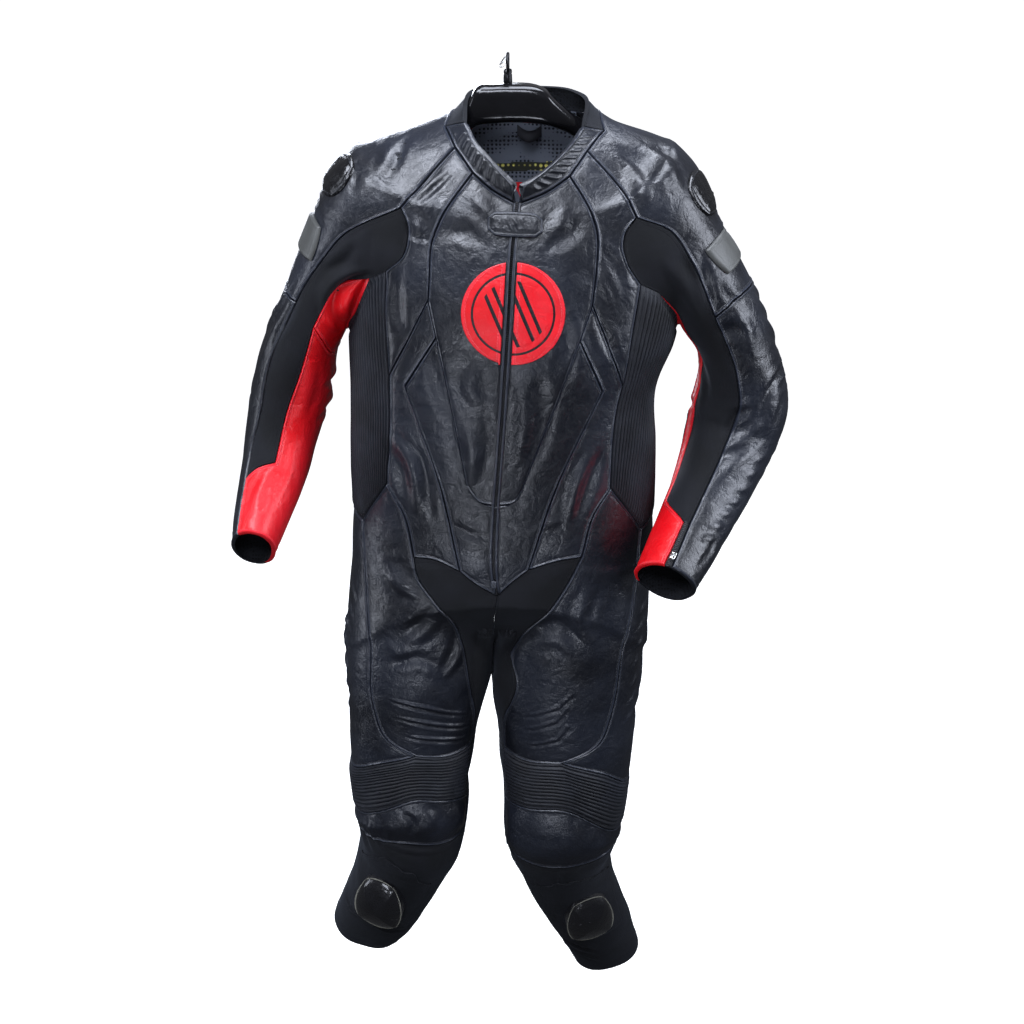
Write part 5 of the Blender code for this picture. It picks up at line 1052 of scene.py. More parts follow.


# Creases: height in mm (troughs are negative), half width in mm, then the places they pass in
# the camera's frame.
seenCreases = [
    (1.6, 9, (388, 136), (387, 155), (383, 176)), (-1.8, 8, (414, 131), (400, 148), (379, 180)),
    (-1.5, 7, (366, 146), (357, 178), (350, 208)), (1.3, 8, (402, 136), (389, 160), (368, 194)),
    (-0.9, 4, (455, 170), (438, 186), (414, 205)), (0.8, 4, (448, 168), (430, 183), (410, 198)),
    (1.2, 8, (419, 218), (413, 246), (408, 276)), (-0.8, 4, (407, 209), (418, 214), (428, 223)),
    (-0.8, 4, (405, 232), (418, 238), (430, 240)), (0.9, 5, (404, 220), (416, 226), (427, 232)),
    (-1.4, 10, (441, 236), (462, 231), (486, 246)), (1.2, 9, (471, 199), (484, 208), (498, 221)),
    (1.3, 9, (568, 208), (560, 222), (547, 236)), (-1.3, 9, (585, 215), (570, 236), (548, 250)),
    (-1.2, 7, (600, 246), (612, 262), (626, 296)), (1.0, 6, (592, 262), (602, 282), (612, 306)),
    (-1.8, 9, (616, 146), (640, 163), (660, 201)), (1.4, 8, (606, 152), (628, 170), (648, 204)),
    (-1.5, 8, (654, 140), (676, 161), (688, 192)), (1.4, 8, (640, 143), (664, 160), (676, 190)),
    (-1.5, 9, (402, 276), (397, 304), (405, 334)), (1.2, 8, (392, 282), (388, 310), (391, 338)),
    (-1.4, 10, (430, 345), (436, 384), (452, 424)), (1.4, 10, (480, 366), (470, 385), (480, 408)),
    (2.4, 8, (391, 436), (409, 457), (416, 486), (418, 512)),
    (-2.4, 9, (386, 446), (399, 470), (405, 500)), (-1.4, 7, (420, 452), (428, 486), (432, 520)),
    (2.0, 8, (590, 452), (575, 490), (567, 526)), (-2.0, 8, (602, 448), (588, 488), (578, 520)),
    (-1.5, 11, (554, 304), (567, 340), (556, 372)), (1.3, 10, (572, 320), (582, 352), (574, 388)),
    (-1.7, 12, (538, 372), (542, 418), (528, 468)), (1.3, 10, (520, 385), (524, 425), (514, 470)),
    (-1.5, 10, (484, 408), (490, 452), (480, 492)), (1.2, 9, (466, 420), (470, 460), (464, 496)),
    (-1.2, 7, (594, 310), (606, 340), (624, 368)), (-1.0, 6, (448, 520), (470, 534), (494, 536)),
    (1.0, 6, (530, 534), (548, 524), (566, 520)), (2.2, 8, (386, 573), (400, 586), (420, 598)),
    (-2.2, 8, (388, 562), (402, 568), (414, 578)), (-1.6, 8, (434, 607), (423, 618), (408, 630)),
    (1.4, 8, (440, 620), (424, 634), (400, 645)), (-2.2, 6, (457, 630), (451, 652), (440, 672)),
    (2.0, 6, (462, 645), (456, 662), (444, 678)), (-1.5, 9, (390, 665), (418, 658), (442, 668)),
    (1.3, 9, (384, 640), (398, 652), (420, 650)), (-1.5, 8, (532, 630), (556, 622), (580, 642)),
    (1.3, 8, (530, 645), (556, 640), (574, 655)), (-1.6, 8, (600, 585), (592, 610), (604, 640)),
    (1.5, 8, (586, 590), (580, 615), (590, 645)), (-1.4, 6, (590, 672), (594, 688), (596, 700)),
    (1.8, 7, (293, 280), (279, 305), (266, 332)), (-1.8, 7, (300, 292), (288, 314), (274, 342)),
    (1.5, 7, (287, 308), (274, 332), (262, 358)), (-1.3, 6, (274, 300), (266, 320), (258, 345)),
    (-4.5, 7, (371, 274), (350, 282), (336, 296), (333, 312), (342, 328)),
    (2.6, 8, (362, 268), (340, 276), (325, 292), (322, 310)),
    (2.2, 6, (356, 292), (347, 303), (350, 322)), (-1.2, 8, (338, 342), (338, 360), (328, 382)),
    (1.2, 9, (312, 358), (308, 390), (301, 420)), (1.5, 7, (270, 468), (260, 488), (256, 514)),
    (-1.2, 6, (262, 474), (250, 494), (246, 514)), (-1.0, 7, (290, 440), (282, 470), (274, 500)),
    (-1.8, 9, (718, 336), (730, 331), (744, 334)), (1.5, 8, (738, 316), (748, 332), (752, 352)),
    (-3.0, 6, (783, 362), (773, 383), (763, 402), (757, 418)),
    (2.2, 6, (779, 392), (771, 412), (766, 434)), (-2.4, 7, (752, 408), (735, 415), (724, 434)),
    (2.2, 7, (762, 422), (745, 438), (727, 450)), (-2.0, 6, (742, 446), (724, 456), (711, 471)),
    (1.8, 6, (752, 452), (736, 464), (722, 478)), (-1.5, 5, (786, 378), (778, 386), (766, 391)),
    (1.2, 6, (731, 366), (738, 390), (734, 404)), (-1.6, 6, (700, 252), (707, 280), (712, 304)),
    (1.4, 6, (692, 258), (698, 282), (703, 306)), (-1.2, 6, (720, 286), (730, 298), (742, 304)),
    (1.8, 9, (664, 260), (686, 288), (700, 318)), (-1.2, 8, (676, 250), (696, 276), (712, 306)),
    (-1.3, 9, (690, 350), (706, 380), (704, 410)), (-1.3, 6, (698, 566), (708, 556), (716, 540)),
    (-1.3, 7, (372, 230), (368, 248), (371, 266)), (1.3, 7, (350, 236), (338, 252), (322, 262)),
    (-1.4, 7, (358, 244), (344, 262), (326, 272)),
    (1.3, 4, (378, 838), (400, 848), (428, 852), (450, 845)),
    (1.1, 4, (376, 845), (400, 856), (428, 859), (448, 853)),
    (1.3, 4, (524, 862), (550, 872), (580, 868), (600, 848)),
    (1.1, 4, (526, 870), (552, 880), (582, 875), (602, 856)),
    (-1.6, 6, (402, 811), (414, 822), (408, 834)), (1.6, 7, (420, 808), (430, 818), (424, 832)),
    (-1.2, 6, (372, 810), (382, 822), (384, 838)), (-1.4, 6, (548, 806), (566, 812), (586, 818)),
    (1.3, 6, (540, 842), (560, 848), (582, 844)), (-2.0, 5, (556, 931), (578, 946), (598, 952)),
    (1.6, 5, (560, 940), (582, 955), (600, 960)), (-1.8, 5, (374, 922), (392, 930), (408, 928)),
    (1.5, 5, (366, 912), (352, 908), (346, 896)), (-1.8, 6, (362, 822), (366, 838), (372, 852)),
    (1.6, 5, (370, 818), (374, 834), (380, 846)),
]
# Sharp tucks sewn over the knees.
tucks = [
    ((388, 697), (425, 707), (468, 712)), ((397, 716), (429, 723), (471, 723)),
    ((409, 736), (435, 739), (468, 736)), ((509, 714), (551, 711), (597, 703)),
    ((508, 725), (541, 727), (585, 724)), ((508, 738), (541, 744), (572, 744)),
]
# The same kinds of crease on the sides that hang away: back and seat as (x, z) in mm, sleeves and legs as
# (mm down the limb, degrees outwards from its front).
backCreases = [
    (-2.0, 9, (-110, -170), (-60, -200), (-10, -200)), (1.6, 9, (-120, -200), (-60, -230), (0, -220)),
    (-2.0, 9, (130, -180), (90, -210), (30, -220)), (1.6, 9, (130, -220), (80, -250), (20, -250)),
    (-1.8, 10, (-100, -280), (-80, -360), (-110, -430)),
    (1.8, 10, (-70, -270), (-50, -350), (-70, -440)), (-1.8, 10, (110, -290), (80, -370), (100, -440)),
    (1.8, 10, (80, -280), (50, -360), (60, -450)), (-2.4, 8, (-130, -490), (-50, -510), (40, -500)),
    (2.2, 8, (-120, -520), (-30, -540), (80, -520)), (-2.2, 8, (-60, -560), (30, -570), (120, -540)),
    (-1.6, 8, (-120, -590), (-50, -610), (20, -600)), (1.6, 8, (20, -630), (80, -620), (120, -600)),
    (-1.8, 9, (-20, -300), (10, -380), (0, -460)),
]
limbCreases = {
    ("sleeve", "right"): [
        (-2.2, 8, (190, 90), (230, 130), (250, 175)), (2.0, 8, (220, 80), (260, 120), (280, 170)),
        (-3.0, 7, (300, -60), (310, -110), (300, -160)), (2.4, 8, (330, -70), (335, -120), (320, -170)),
        (-2.4, 7, (360, -60), (350, -110), (360, -150)), (-2.0, 7, (300, 130), (340, 100), (360, 70)),
        (-1.8, 8, (440, 90), (480, 120), (500, 160)), (1.6, 8, (100, 100), (160, 120), (180, 160))],
    ("sleeve", "left"): [
        (-2.2, 8, (200, 60), (240, 100), (260, 150)), (2.0, 8, (230, 50), (270, 90), (290, 140)),
        (-3.0, 7, (370, 90), (390, 130), (380, 180)), (2.4, 8, (400, 80), (420, 125), (410, 180)),
        (-2.2, 7, (430, 70), (450, 110), (460, 160)), (-1.8, 8, (520, 60), (560, 100), (580, 150)),
        (-2.6, 7, (360, -80), (380, -120), (370, -170)), (1.6, 8, (100, 100), (170, 120), (190, 160))],
    ("leg", "right"): [
        (-2.4, 9, (100, 120), (150, 150), (160, 200)), (2.0, 9, (140, 110), (190, 150), (200, 200)),
        (-3.2, 8, (360, 140), (380, 180), (370, 225)), (2.6, 8, (390, 140), (410, 180), (400, 230)),
        (-3.0, 8, (430, 135), (450, 180), (440, 225)), (2.4, 8, (470, 140), (490, 180), (480, 220)),
        (-2.0, 9, (580, 130), (640, 160), (700, 175)), (-1.8, 9, (600, 200), (660, 220), (740, 225)),
        (-1.6, 8, (200, 60), (240, 85), (300, 100)), (1.6, 8, (80, 75), (160, 85), (220, 70))],
    ("leg", "left"): [
        (-2.4, 9, (100, 120), (150, 150), (160, 200)), (2.0, 9, (140, 110), (190, 150), (200, 200)),
        (-3.2, 8, (380, 140), (400, 180), (390, 225)), (2.6, 8, (410, 140), (430, 180), (420, 230)),
        (-3.0, 8, (450, 135), (470, 180), (460, 225)), (2.4, 8, (490, 140), (510, 180), (500, 220)),
        (-2.0, 9, (620, 130), (680, 160), (740, 175)), (-1.8, 9, (640, 200), (700, 220), (780, 225)),
        (-1.6, 8, (210, 60), (250, 85), (310, 100)), (1.6, 8, (80, 75), (160, 85), (220, 70))],
}
# Plain slanted bars embossed on the left forearm and the thigh sides: first place, step to the next
# along the limb and round it, the bar's own run and turn, and how many; mm and degrees.
embossed = {
    ("sleeve", "left"): dict(start=(445, 26), step=(25.5, -4.5), slant=(18, 22), count=7),
    ("leg", "left"): dict(start=(70, 62), step=(30, -2.0), slant=(20, 17), count=7),
    ("leg", "right"): dict(start=(70, 66), step=(30, 1.0), slant=(20, 17), count=7),
}
waves = dict(broad=0.0024, small=0.0012)     # heights of the cloth's slow waves and of its lumps
# Three low folds round the lower edge of each shoulder cap, in mm and degrees.
capFolds = dict(first=37, step=7.2, height=1.3, width=3.4, rise=10, turn=42)
# Rows of stitches round the sleeves' and legs' ends, as mm down the limb.
hemStitches = {("sleeve", "right"): 562, ("sleeve", "left"): 638, ("leg", "right"): 806, ("leg", "left"): 862}
hemFold = dict(height=-0.9, width=1.8)
barFold = dict(height=1.3, width=5.0)        # of each embossed bar, in mm
creaseScale = dict(height=0.0016, width=0.00085)     # metres for each mm of the lists above


# All creases as (path on the form, depth, half width).
def makeCreases():
    rows = [(height, width, seenAt(places)) for height, width, *places in seenCreases]
    for places in tucks:
        line = seenAt(places)
        rows += [(1.2, 2.7, line), (-0.9, 3.2, line + (0, 0, -0.0046))]
    rows += [(height, width, backAt(places)) for height, width, *places in backCreases]
    onLimbs = [(limb, height, width, places) for limb, found in limbCreases.items()
               for height, width, *places in found]
    for limb, bars in embossed.items():
        slant = np.array(bars["slant"])
        for k in range(bars["count"]):
            low = np.add(bars["start"], np.multiply(bars["step"], k))
            onLimbs.append((limb, *barFold.values(), [low, low + slant * (-0.5, 0.5), low + slant * (-1, 1)]))
    for limb, along in hemStitches.items():
        onLimbs.append((limb, *hemFold.values(), [(along, turn) for turn in np.linspace(0, 360, 25)]))
    for side, spots in armourSpots.items():
        along, degrees, _ = spots["cap"]
        for k in range(3):
            down, turn = along + capFolds["first"] + k * capFolds["step"], capFolds["turn"] + 4 * k
            ends = [(down - capFolds["rise"], degrees - turn), (down - capFolds["rise"], degrees + turn)]
            fold = [ends[0], (down, degrees), ends[1]]
            onLimbs.append((("sleeve", side), capFolds["height"], capFolds["width"], fold))
    rows += [(height, width, np.array(limbPath(limb, places))) for limb, height, width, places in onLimbs]
    found = []
    for height, width, places in rows:
        if len(places) < 20:
            places = smoothPath(places, max(9, 3 * len(places)))
        found.append((settle(places, rounds=3), creaseScale["height"] * height, creaseScale["width"] * width))
    return found


creases = makeCreases()
print("creases laid:", len(creases))


# Seams by name; a name with plus signs is several seams in a row.
def loft(seams, *names):
    return [joined(*[seams[part] for part in name.split("+")]) for name in names]


ribs = dict(height=0.0026, sidePerStep=4, kneePerStep=7, lines=8)      # lines of the grid in each rib


# Ribs of shirred cloth: |sin| of the place across the panel, a little uneven, fading out at the seams.
def ribRelief(count, axis):
    def relief(grid, edge):
        at = np.linspace(0, count, grid.shape[axis])
        rise = np.abs(np.sin(math.pi * (at[None, :] if axis == 1 else at[:, None]))) ** 0.75
        uneven = 1 + 0.18 * lumps(grid.reshape(-1, 3), 0.028, 9).reshape(grid.shape[:2])
        return ribs["height"] * rise * uneven * np.clip((edge - 0.003) / 0.006, 0, 1)
    return relief


# Front, chest, flank and belly of one side. Each grid names its top, bottom, left and right seams.
def trunkPanels(side, seams):
    one = (side,)
    grid = bodyGrid(*loft(seams, "neckSlot"), seams["bellySlot"][::-1], seams["zipEdge"],
                    *loft(seams, "bust+bustLow+belly"), one)
    panel(f"front_{side}", [grid], one, "leather")
    grid = bodyGrid(*loft(seams, "collar", "chestHem", "bust", "yoke+disc+ribEdge"), one)
    panel(f"chest_{side}", [grid], one, "leather")
    grid = bodyGrid(*loft(seams, "bustLow", "waist", "chestHem+ribEdgeLow+hip", "chevron+chevronLow"), one)
    panel(f"flank_{side}", [grid], one, "leather")
    point = np.repeat(seams["chevron"][:1], 2 * fineSteps + 1, axis=0)
    sideSeams = loft(seams, "chevron+chevronLow", "belly+bellyEnd+zipEdgeLow")
    grid = bodyGrid(point, seams["waistSlot"], *sideSeams, one)
    panel(f"belly_{side}", [grid], one, "leather", skip=("top",))


# The ribbed stretch panel of one side; its grid is straight across the ribs.
def sideRibs(side, seams):
    one = (side,)
    top, bottom = loft(seams, "stretchEnd+underFront+underBack", "hipToSide+hipToRear")
    near = loft(seams, "ribEdge+ribEdgeLow")[0]
    edge = trunkRows[side]
    guide = [(np.interp(-z, -trunkRows["height"], edge), 0, z) for z in (-0.42, -0.52)]
    lines = ribs["lines"] * ribs["sidePerStep"]
    grid = bodyGrid(top, bottom, near, seams["ribEdgeBack"], (), [(5, guide)],
                    lines=(gridLines(9, lines), gridLines(6, 12)))
    panel(f"side_ribs_{side}", [grid], one, "ribbed",
          ribRelief(9 * ribs["sidePerStep"], 1), swell=0.3)


# Shoulder, forearm, stretch, underarm and inner sleeve of one side, and the left cuff's strip.
def sleevePanels(side, seams):
    one, limb = (side,), ("sleeve", side)
    over = limbPath(limb, [(60, 62), (130, 72)])
    behind = limbPath(limb, [(60, 125), (130, 140)])
    around = loft(seams, "neckToSide+neckToBack", "cross", "yoke+outerTop", "raglanBack+rearTop")
    grid = bodyGrid(*around, one, [(2, over), (4, behind)])
    panel(f"shoulder_{side}", [grid], one, "leather")
    outer = 130 if side == "right" else 95
    around = loft(seams, "cross", "cuff", "outerMid+outerCuff", "rearMid+rearLow+rearCuff")
    grid = limbGrid(limb, outer, *around)
    panel(f"forearm_{side}", [grid], one, "leather")
    low = "jog" if side == "right" else "gussetTop+jog"
    around = loft(seams, "disc", low, "outerTop+outerMid", "stretchEnd+innerTop+innerMid")
    grid = bodyGrid(*around, one, rounds=1)
    panel(f"sleeve_stretch_{side}", [grid], one, "stretch", band=0.25, swell=1.3)
    grid = bodyGrid(*loft(seams, "underFront+underBack", "redCross", "innerTop", "rearTop+rearMid"), limb)
    panel(f"underarm_{side}", [grid], one, "red")
    inner = -75 if side == "right" else -110
    upper = limbGrid(limb, inner, *loft(seams, "redCross", "ring", "innerMid", "rearLow"))
    edge = "outerCuff" if side == "right" else "gussetEdge"
    steps = [(len(seams[name]) - 1) // fineSteps for name in ("jog", "ring")]
    lines = np.concatenate([gridLines(steps[0]), steps[0] + gridLines(steps[1])[1:]])
    lower = limbGrid(limb, inner, *loft(seams, "jog+ring", "cuffRed", edge, "rearCuff"), lines=(lines, None))
    panel(f"inner_sleeve_{side}", [upper, lower], one, "red", corner=seams["jog"])
    if side == "left":
        grid = bodyGrid(*loft(seams, "gussetTop", "gussetLow", "outerCuff", "gussetEdge"), one)
        panel("cuff_gusset_left", [grid], one, "tape", band=0.0, swell=0.0)


kneePad = 0.0065         # how far the pad inside each knee cup pushes it out


# Thigh, crotch, seat, knee and shin of one side; the knee cup swells as 1 - exp(-d*d) from its seams.
def legPanels(side, seams):
    one, limb = (side,), ("leg", side)
    lines = gridLines(11)
    overKnee = (lines[:-1] > 7.2) & (lines[:-1] < 10.2)       # twice as many lines where the tucks are
    lines = np.sort(np.concatenate([lines, (lines[:-1] + lines[1:])[overKnee] / 2]))
    around = loft(seams, "hipToSide", "kneeFront", "hip+crotchEdge", "side")
    grid = bodyGrid(*around, one, lines=(None, lines))
    panel(f"thigh_front_{side}", [grid], one, "leather")
    top, inside = loft(seams, "waist+waistEnd", "crotchMiddle+insideLeg")
    grid = bodyGrid(top, seams["kneeInside"][::-1], seams["crotchEdge"], inside, one)
    panel(f"crotch_stretch_{side}", [grid], one, "stretch", band=0.25, swell=1.3)
    grid = bodyGrid(*loft(seams, "hipToRear", "kneeSide", "side", "rear"), one)
    panel(f"thigh_side_{side}", [grid], one, "leather")
    grid = bodyGrid(*loft(seams, "hipBack", "kneeBack", "rear", "seatMiddle+insideLeg"), one)
    panel(f"seat_{side}", [grid], one, "leather")
    lines = ribs["lines"] * ribs["kneePerStep"]
    grid = limbGrid(limb, 22, *loft(seams, "kneeFront+kneeSide", "ribsLow", "ribsInner", "ribsOuter"),
                    lines=(gridLines(9, 12), gridLines(2, lines)))
    panel(f"knee_ribs_{side}", [grid], one, "ribbed",
          ribRelief(2 * ribs["kneePerStep"], 0), swell=0.3)
    grid = limbGrid(limb, 22, *loft(seams, "ribsLow", "cupLow", "cupInner", "cupOuter"))
    panel(f"knee_cup_{side}", [grid], one, "leather",
          lambda grid, edge: kneePad * (1 - np.exp(-((edge / 0.024) ** 2))))
    grid = limbGrid(limb, 22, *loft(seams, "cupLow", "hem", "shinInner", "shinOuter"))
    panel(f"shin_{side}", [grid], one, "stretch", band=0.4)
    grid = limbGrid(limb, 202, *loft(seams, "kneeBack+kneeInside", "hemBack", "ribsOuter+cupOuter+shinOuter",
                                     "ribsInner+cupInner+shinInner"))
    panel(f"calf_{side}", [grid], one, "stretch", band=0.4)


# The back, one panel from the collar to the hips.
def backPanel(right, left):
    top = joined(right["neckBack"], left["neckBack"][::-1])
    bottom = joined(right["hipBack"], left["hipBack"][::-1])
    middle = [back(0.012, -0.20), back(0.000, -0.45)]
    edges = [loft(half, "raglanBack+ribEdgeBack")[0] for half in (right, left)]
    grid = bodyGrid(top, bottom, *edges, both, [(4, middle)])
    panel("back", [grid], both, "leather")


seams = {}
for side in outSign:
    seams[side] = bodySeams(side)
    sleeveSeams(side, seams[side])
    legSeams(side, seams[side])
print("seams laid:", sum(len(s) for s in seams.values()))
for side in outSign:
    trunkPanels(side, seams[side])
    sideRibs(side, seams[side])
    sleevePanels(side, seams[side])
    legPanels(side, seams[side])
    print("panels of the", side, "side done")
backPanel(seams["right"], seams["left"])


# Piece laid over the panels: a grid of places, moved onto the folds, with heights above them.
# Its underside clears the cloth by base; printed is the share of black print at each place, and
# finishAt gives further finishes and which outer face has which.
def laid(name, node, points, heights, finish, hangsFrom=None, outward=None, sides=both,
         base=0.0011, wall=0.0014, finishAt=None, padding=None, printed=0.0):
    normals = unitNormals(points, sides)
    ways = normals if outward is None else unit(normals * 0.35 + np.asarray(outward))
    low = points + (foldHeight(points) + base)[..., None] * normals
    high = low + (wall + heights)[..., None] * ways
    outer, lining, rim = wallFaces(points.shape[:2])
    cells = cellNormals(points)
    flip = -1 if (cells * normals[:-1, :-1]).sum() < 0 else 1
    faces = [face[::flip] for face in outer + lining + rim]
    _, _, wide, long = edgeDistance(points)
    edge, along, _, _ = edgeDistance(high)
    at = np.stack([along, edge, np.broadcast_to(printed, edge.shape)], -1).reshape(-1, 3)
    which = np.zeros(len(faces), int)
    kinds = [finishes[finish]]
    if finishAt is not None:
        kinds.append(finishes[finishAt[0]])
        which[:len(outer)] = finishAt[1]
    piece = addPiece(name, [node], bothWalls(high, low), faces, kinds, which,
                     seamAt=np.concatenate([at, at]))
    if padding is not None:
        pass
    elif hangsFrom:
        hang(wide, long, np.linalg.norm(cells, axis=2).sum())


# The points of an outer and an inner grid in one list.
def bothWalls(high, low):
    return np.concatenate([high.reshape(-1, 3), low.reshape(-1, 3)])


# Rounded plan: x = p sqrt(1 - r q q / 2), y = q sqrt(1 - r p p / 2), with p and q from -1 to 1.
def plan(centre, across, down, halves, steps, roundness):
    p, q = np.meshgrid(np.linspace(-1, 1, steps + 1), np.linspace(-1, 1, steps + 1))
    x = p * np.sqrt(1 - roundness * q**2 / 2)
    y = q * np.sqrt(1 - roundness * p**2 / 2)
    points = centre + halves[0] * x[..., None] * across + halves[1] * y[..., None] * down
    return points, p, q, np.maximum(np.abs(p), np.abs(q))


# Place on a limb, in mm and degrees, with its outward, across and down directions turned in the plane.
def limbFrame(side, kind, along, degrees, turn):
    along, reach = along / 1000, 0.02
    place = settle(onLimb((kind, side), along, degrees), (side,))
    outward = unit(formSlope(place, (side,)))[0]
    ahead = onLimb((kind, side), along + reach, degrees)[0] - onLimb((kind, side), along - reach, degrees)[0]
    down = unit(ahead - outward * (ahead @ outward))
    across = np.cross(outward, down)
    c, s = math.cos(math.radians(turn)), math.sin(math.radians(turn))
    return place[0], outward, c * across + s * down, c * down - s * across


# Soft round step: 0 at the edge, 1 further in than reach.
def rounded(edge, reach):
    t = np.clip(edge / reach, 0, 1)
    return np.sqrt(1 - (1 - t) ** 2)


# Smooth hill of height 1 over the place at, half as high about 0.8 of a width away.
def hill(values, at, width):
    return np.exp(-((values - at) / width) ** 2)


# Soft step from 0 to 1 where values pass at.
def softStep(values, at, width):
    return 1 / (1 + np.exp((at - values) / width))


# Small boxes in a row: middles, half sizes along three directions at each place.
def blocks(places, along, across, outward, half):
    corners = np.array([(x, y, z) for z in (-1, 1) for y in (-1, 1) for x in (-1, 1)], float) * half
    axes = np.stack([along, across, outward], 1)
    points = places[:, None] + (corners[None, :, :, None] * axes[:, None]).sum(2)
    quads = np.array([(0, 2, 3, 1), (4, 5, 7, 6), (0, 1, 5, 4), (2, 6, 7, 3), (0, 4, 6, 2), (1, 3, 7, 5)])
    faces = (quads[None] + 8 * np.arange(len(places))[:, None, None]).reshape(-1, 4)
    return points.reshape(-1, 3), faces


# Tube round a line of places: closed rings of the given radii, starting towards side.
def tube(path, radii, around, side):
    ahead = unit(np.gradient(path, axis=0))
    side = np.broadcast_to(side, path.shape)
    side = unit(side - (side * ahead).sum(1, keepdims=True) * ahead)
    other = np.cross(side, ahead)
    turn = np.linspace(0, 2 * math.pi, around, endpoint=False)[None, :, None]
    ring = np.cos(turn) * side[:, None] + np.sin(turn) * other[:, None]
    return path[:, None] + radii[:, None, None] * ring


# Quads between rings of points, with a flat face over the first and last ring.
def ringFaces(count, around):
    ids = np.arange(count * around).reshape(count, around)
    turned = np.roll(ids, -1, 1)
    quads = np.stack([ids[:-1], turned[:-1], turned[1:], ids[1:]], -1).reshape(-1, 4).tolist()
    return quads + [ids[0][::-1].tolist(), ids[-1].tolist()]


# Faces turned so that the closed mesh has a positive volume.
def outwards(points, faces):
    volume = 0.0
    for face in faces:
        fan = points[np.asarray(face)]
        volume += np.einsum("ij,ij->", np.cross(fan[1:-1], fan[2:]), np.broadcast_to(fan[0], fan[2:].shape))
    return [face[::-1] for face in faces] if volume < 0 else faces


# Collar: two leather bands and a stretch band, edged with piping, plain slanted bars embossed.
collarBand = dict(rows=28, piping=0.0013, bars=0.0017, barPitch=0.0128, lean=0.55, ends=0.016)


# Height of a collar band: the piping's roll and stitches along the upper edge, in mm from it, and
# slanted bars that stop short of the band's edges and ends.
def collarRelief(bars):
    def relief(part, edge):
        down, across = lengthsDown(part), lengthsAcross(part)
        tall = down[-1:]
        top, bottom = down * 1000, (tall - down) * 1000
        height = collarBand["piping"] * (hill(top, 1.6, 1.5) - 0.5 * hill(top, 4.4, 0.9))
        if not bars:
            return height
        run = across.mean(0)[None] + collarBand["lean"] * (down - tall / 2)
        beat = np.abs((run / collarBand["barPitch"]) % 1.0 - 0.5) * 2
        inside = softStep(top, 7.0, 0.5) * softStep(bottom, 7.5, 0.5)
        for away in (across, across[:, -1:] - across):
            inside = inside * np.clip((away - collarBand["ends"]) / 0.002, 0, 1)
        return height + collarBand["bars"] * softStep(-beat, -0.42, 0.05) * inside
    return relief


# The band runs straight between its lower seam and its upper edge; its facing turns from its own
# upright at the top to the form's at the seam.
def makeCollar():
    low, high = [], []
    for side in outSign:
        base = joined(*[seams[side][name] for name in ("neckSlot", "collar", "neckToSide")])
        behind = joined(seams[side]["neckToBack"], seams[side]["neckBack"])
        low.append(joined(base, behind))
        high.append(joined(*[spaced(smoothPath(np.array(edge[side]) / 1000), len(line) - 1)
                             for edge, line in ((collarTop, base), (collarTopBack, behind))]))
    low = joined(low[0], low[1][::-1])
    high = joined(high[0], high[1][::-1])
    t = np.linspace(0, 1, collarBand["rows"] + 1)[:, None, None]
    grid = high + (low - high) * t
    normals = unit(np.cross(np.gradient(grid, axis=1), np.gradient(grid, axis=0)))
    normals = unit(normals * (1 - t**2) + unit(formSlope(low, both)) * t**2)
    firstEnd, end = len(base) - 1, len(low) - 1
    for name, first, last, finish in (("collar_right", 0, firstEnd, "leather"),
                                      ("collar_back", firstEnd, end - firstEnd, "stretch"),
                                      ("collar_left", end - firstEnd, end, "leather")):
        bars = finish == "leather"
        panel(name, [grid[:, first:last + 1]], both, finish,
              collarRelief(bars),
              standing=normals[:, first:last + 1], swell=0.6, band=0.8 if bars else 0.3)


# Front zip: tape with a chain of teeth in a narrow slot between two stitched leather facings.
zipChain = dict(pitch=0.0027, columns=24, slot=0.0016, depth=0.0032, sunk=0.0012, aside=0.0006)


# Height across the zip: the facings stand up beside the slot, each with a row of stitches.
def zipRelief(part, edge):
    across = lengthsAcross(part)
    off = np.abs(across - across[:, -1:] / 2)
    facing = zipChain["depth"] * softStep(off, zipChain["slot"], 0.00025)
    return facing - zipChain["sunk"] - 0.0005 * hill(off, 0.0042, 0.0006)


# The tape fills the slot between the two front edges; faces away from the slot are leather.
def makeFrontZip():
    edges = [joined(seams[side]["zipEdge"], seams[side]["zipEdgeLow"]) for side in outSign]
    t = np.linspace(0, 1, zipChain["columns"] + 1)[None, :, None]
    grid = edges[0][:, None] * (1 - t) + edges[1][:, None] * t
    grid[:, 1:-1] = settleGrid(grid[:, 1:-1], rounds=2)
    piece = panel("front_zip", [grid], both, "tape", zipRelief, band=0.5,
                  swell=0.0, fullness=1.5)
    piece.data.materials.append(finishes["leather"])
    faces = piece.data.polygons
    middles, kinds = np.zeros(3 * len(faces)), np.zeros(len(faces), np.int32)
    faces.foreach_get("center", middles)
    faces.foreach_get("material_index", kinds)
    spine = settle((edges[0] + edges[1]) / 2, rounds=2)
    away, _ = fromPath(middles.reshape(-1, 3), spine[::4])
    kinds[(kinds == 0) & (away > zipChain["slot"] + 0.0010)] = 2
    faces.foreach_set("material_index", kinds)
    chain(spine, "front_zip_teeth", "front_zip", 0.00035, (0.0007, 0.0018, 0.0006))


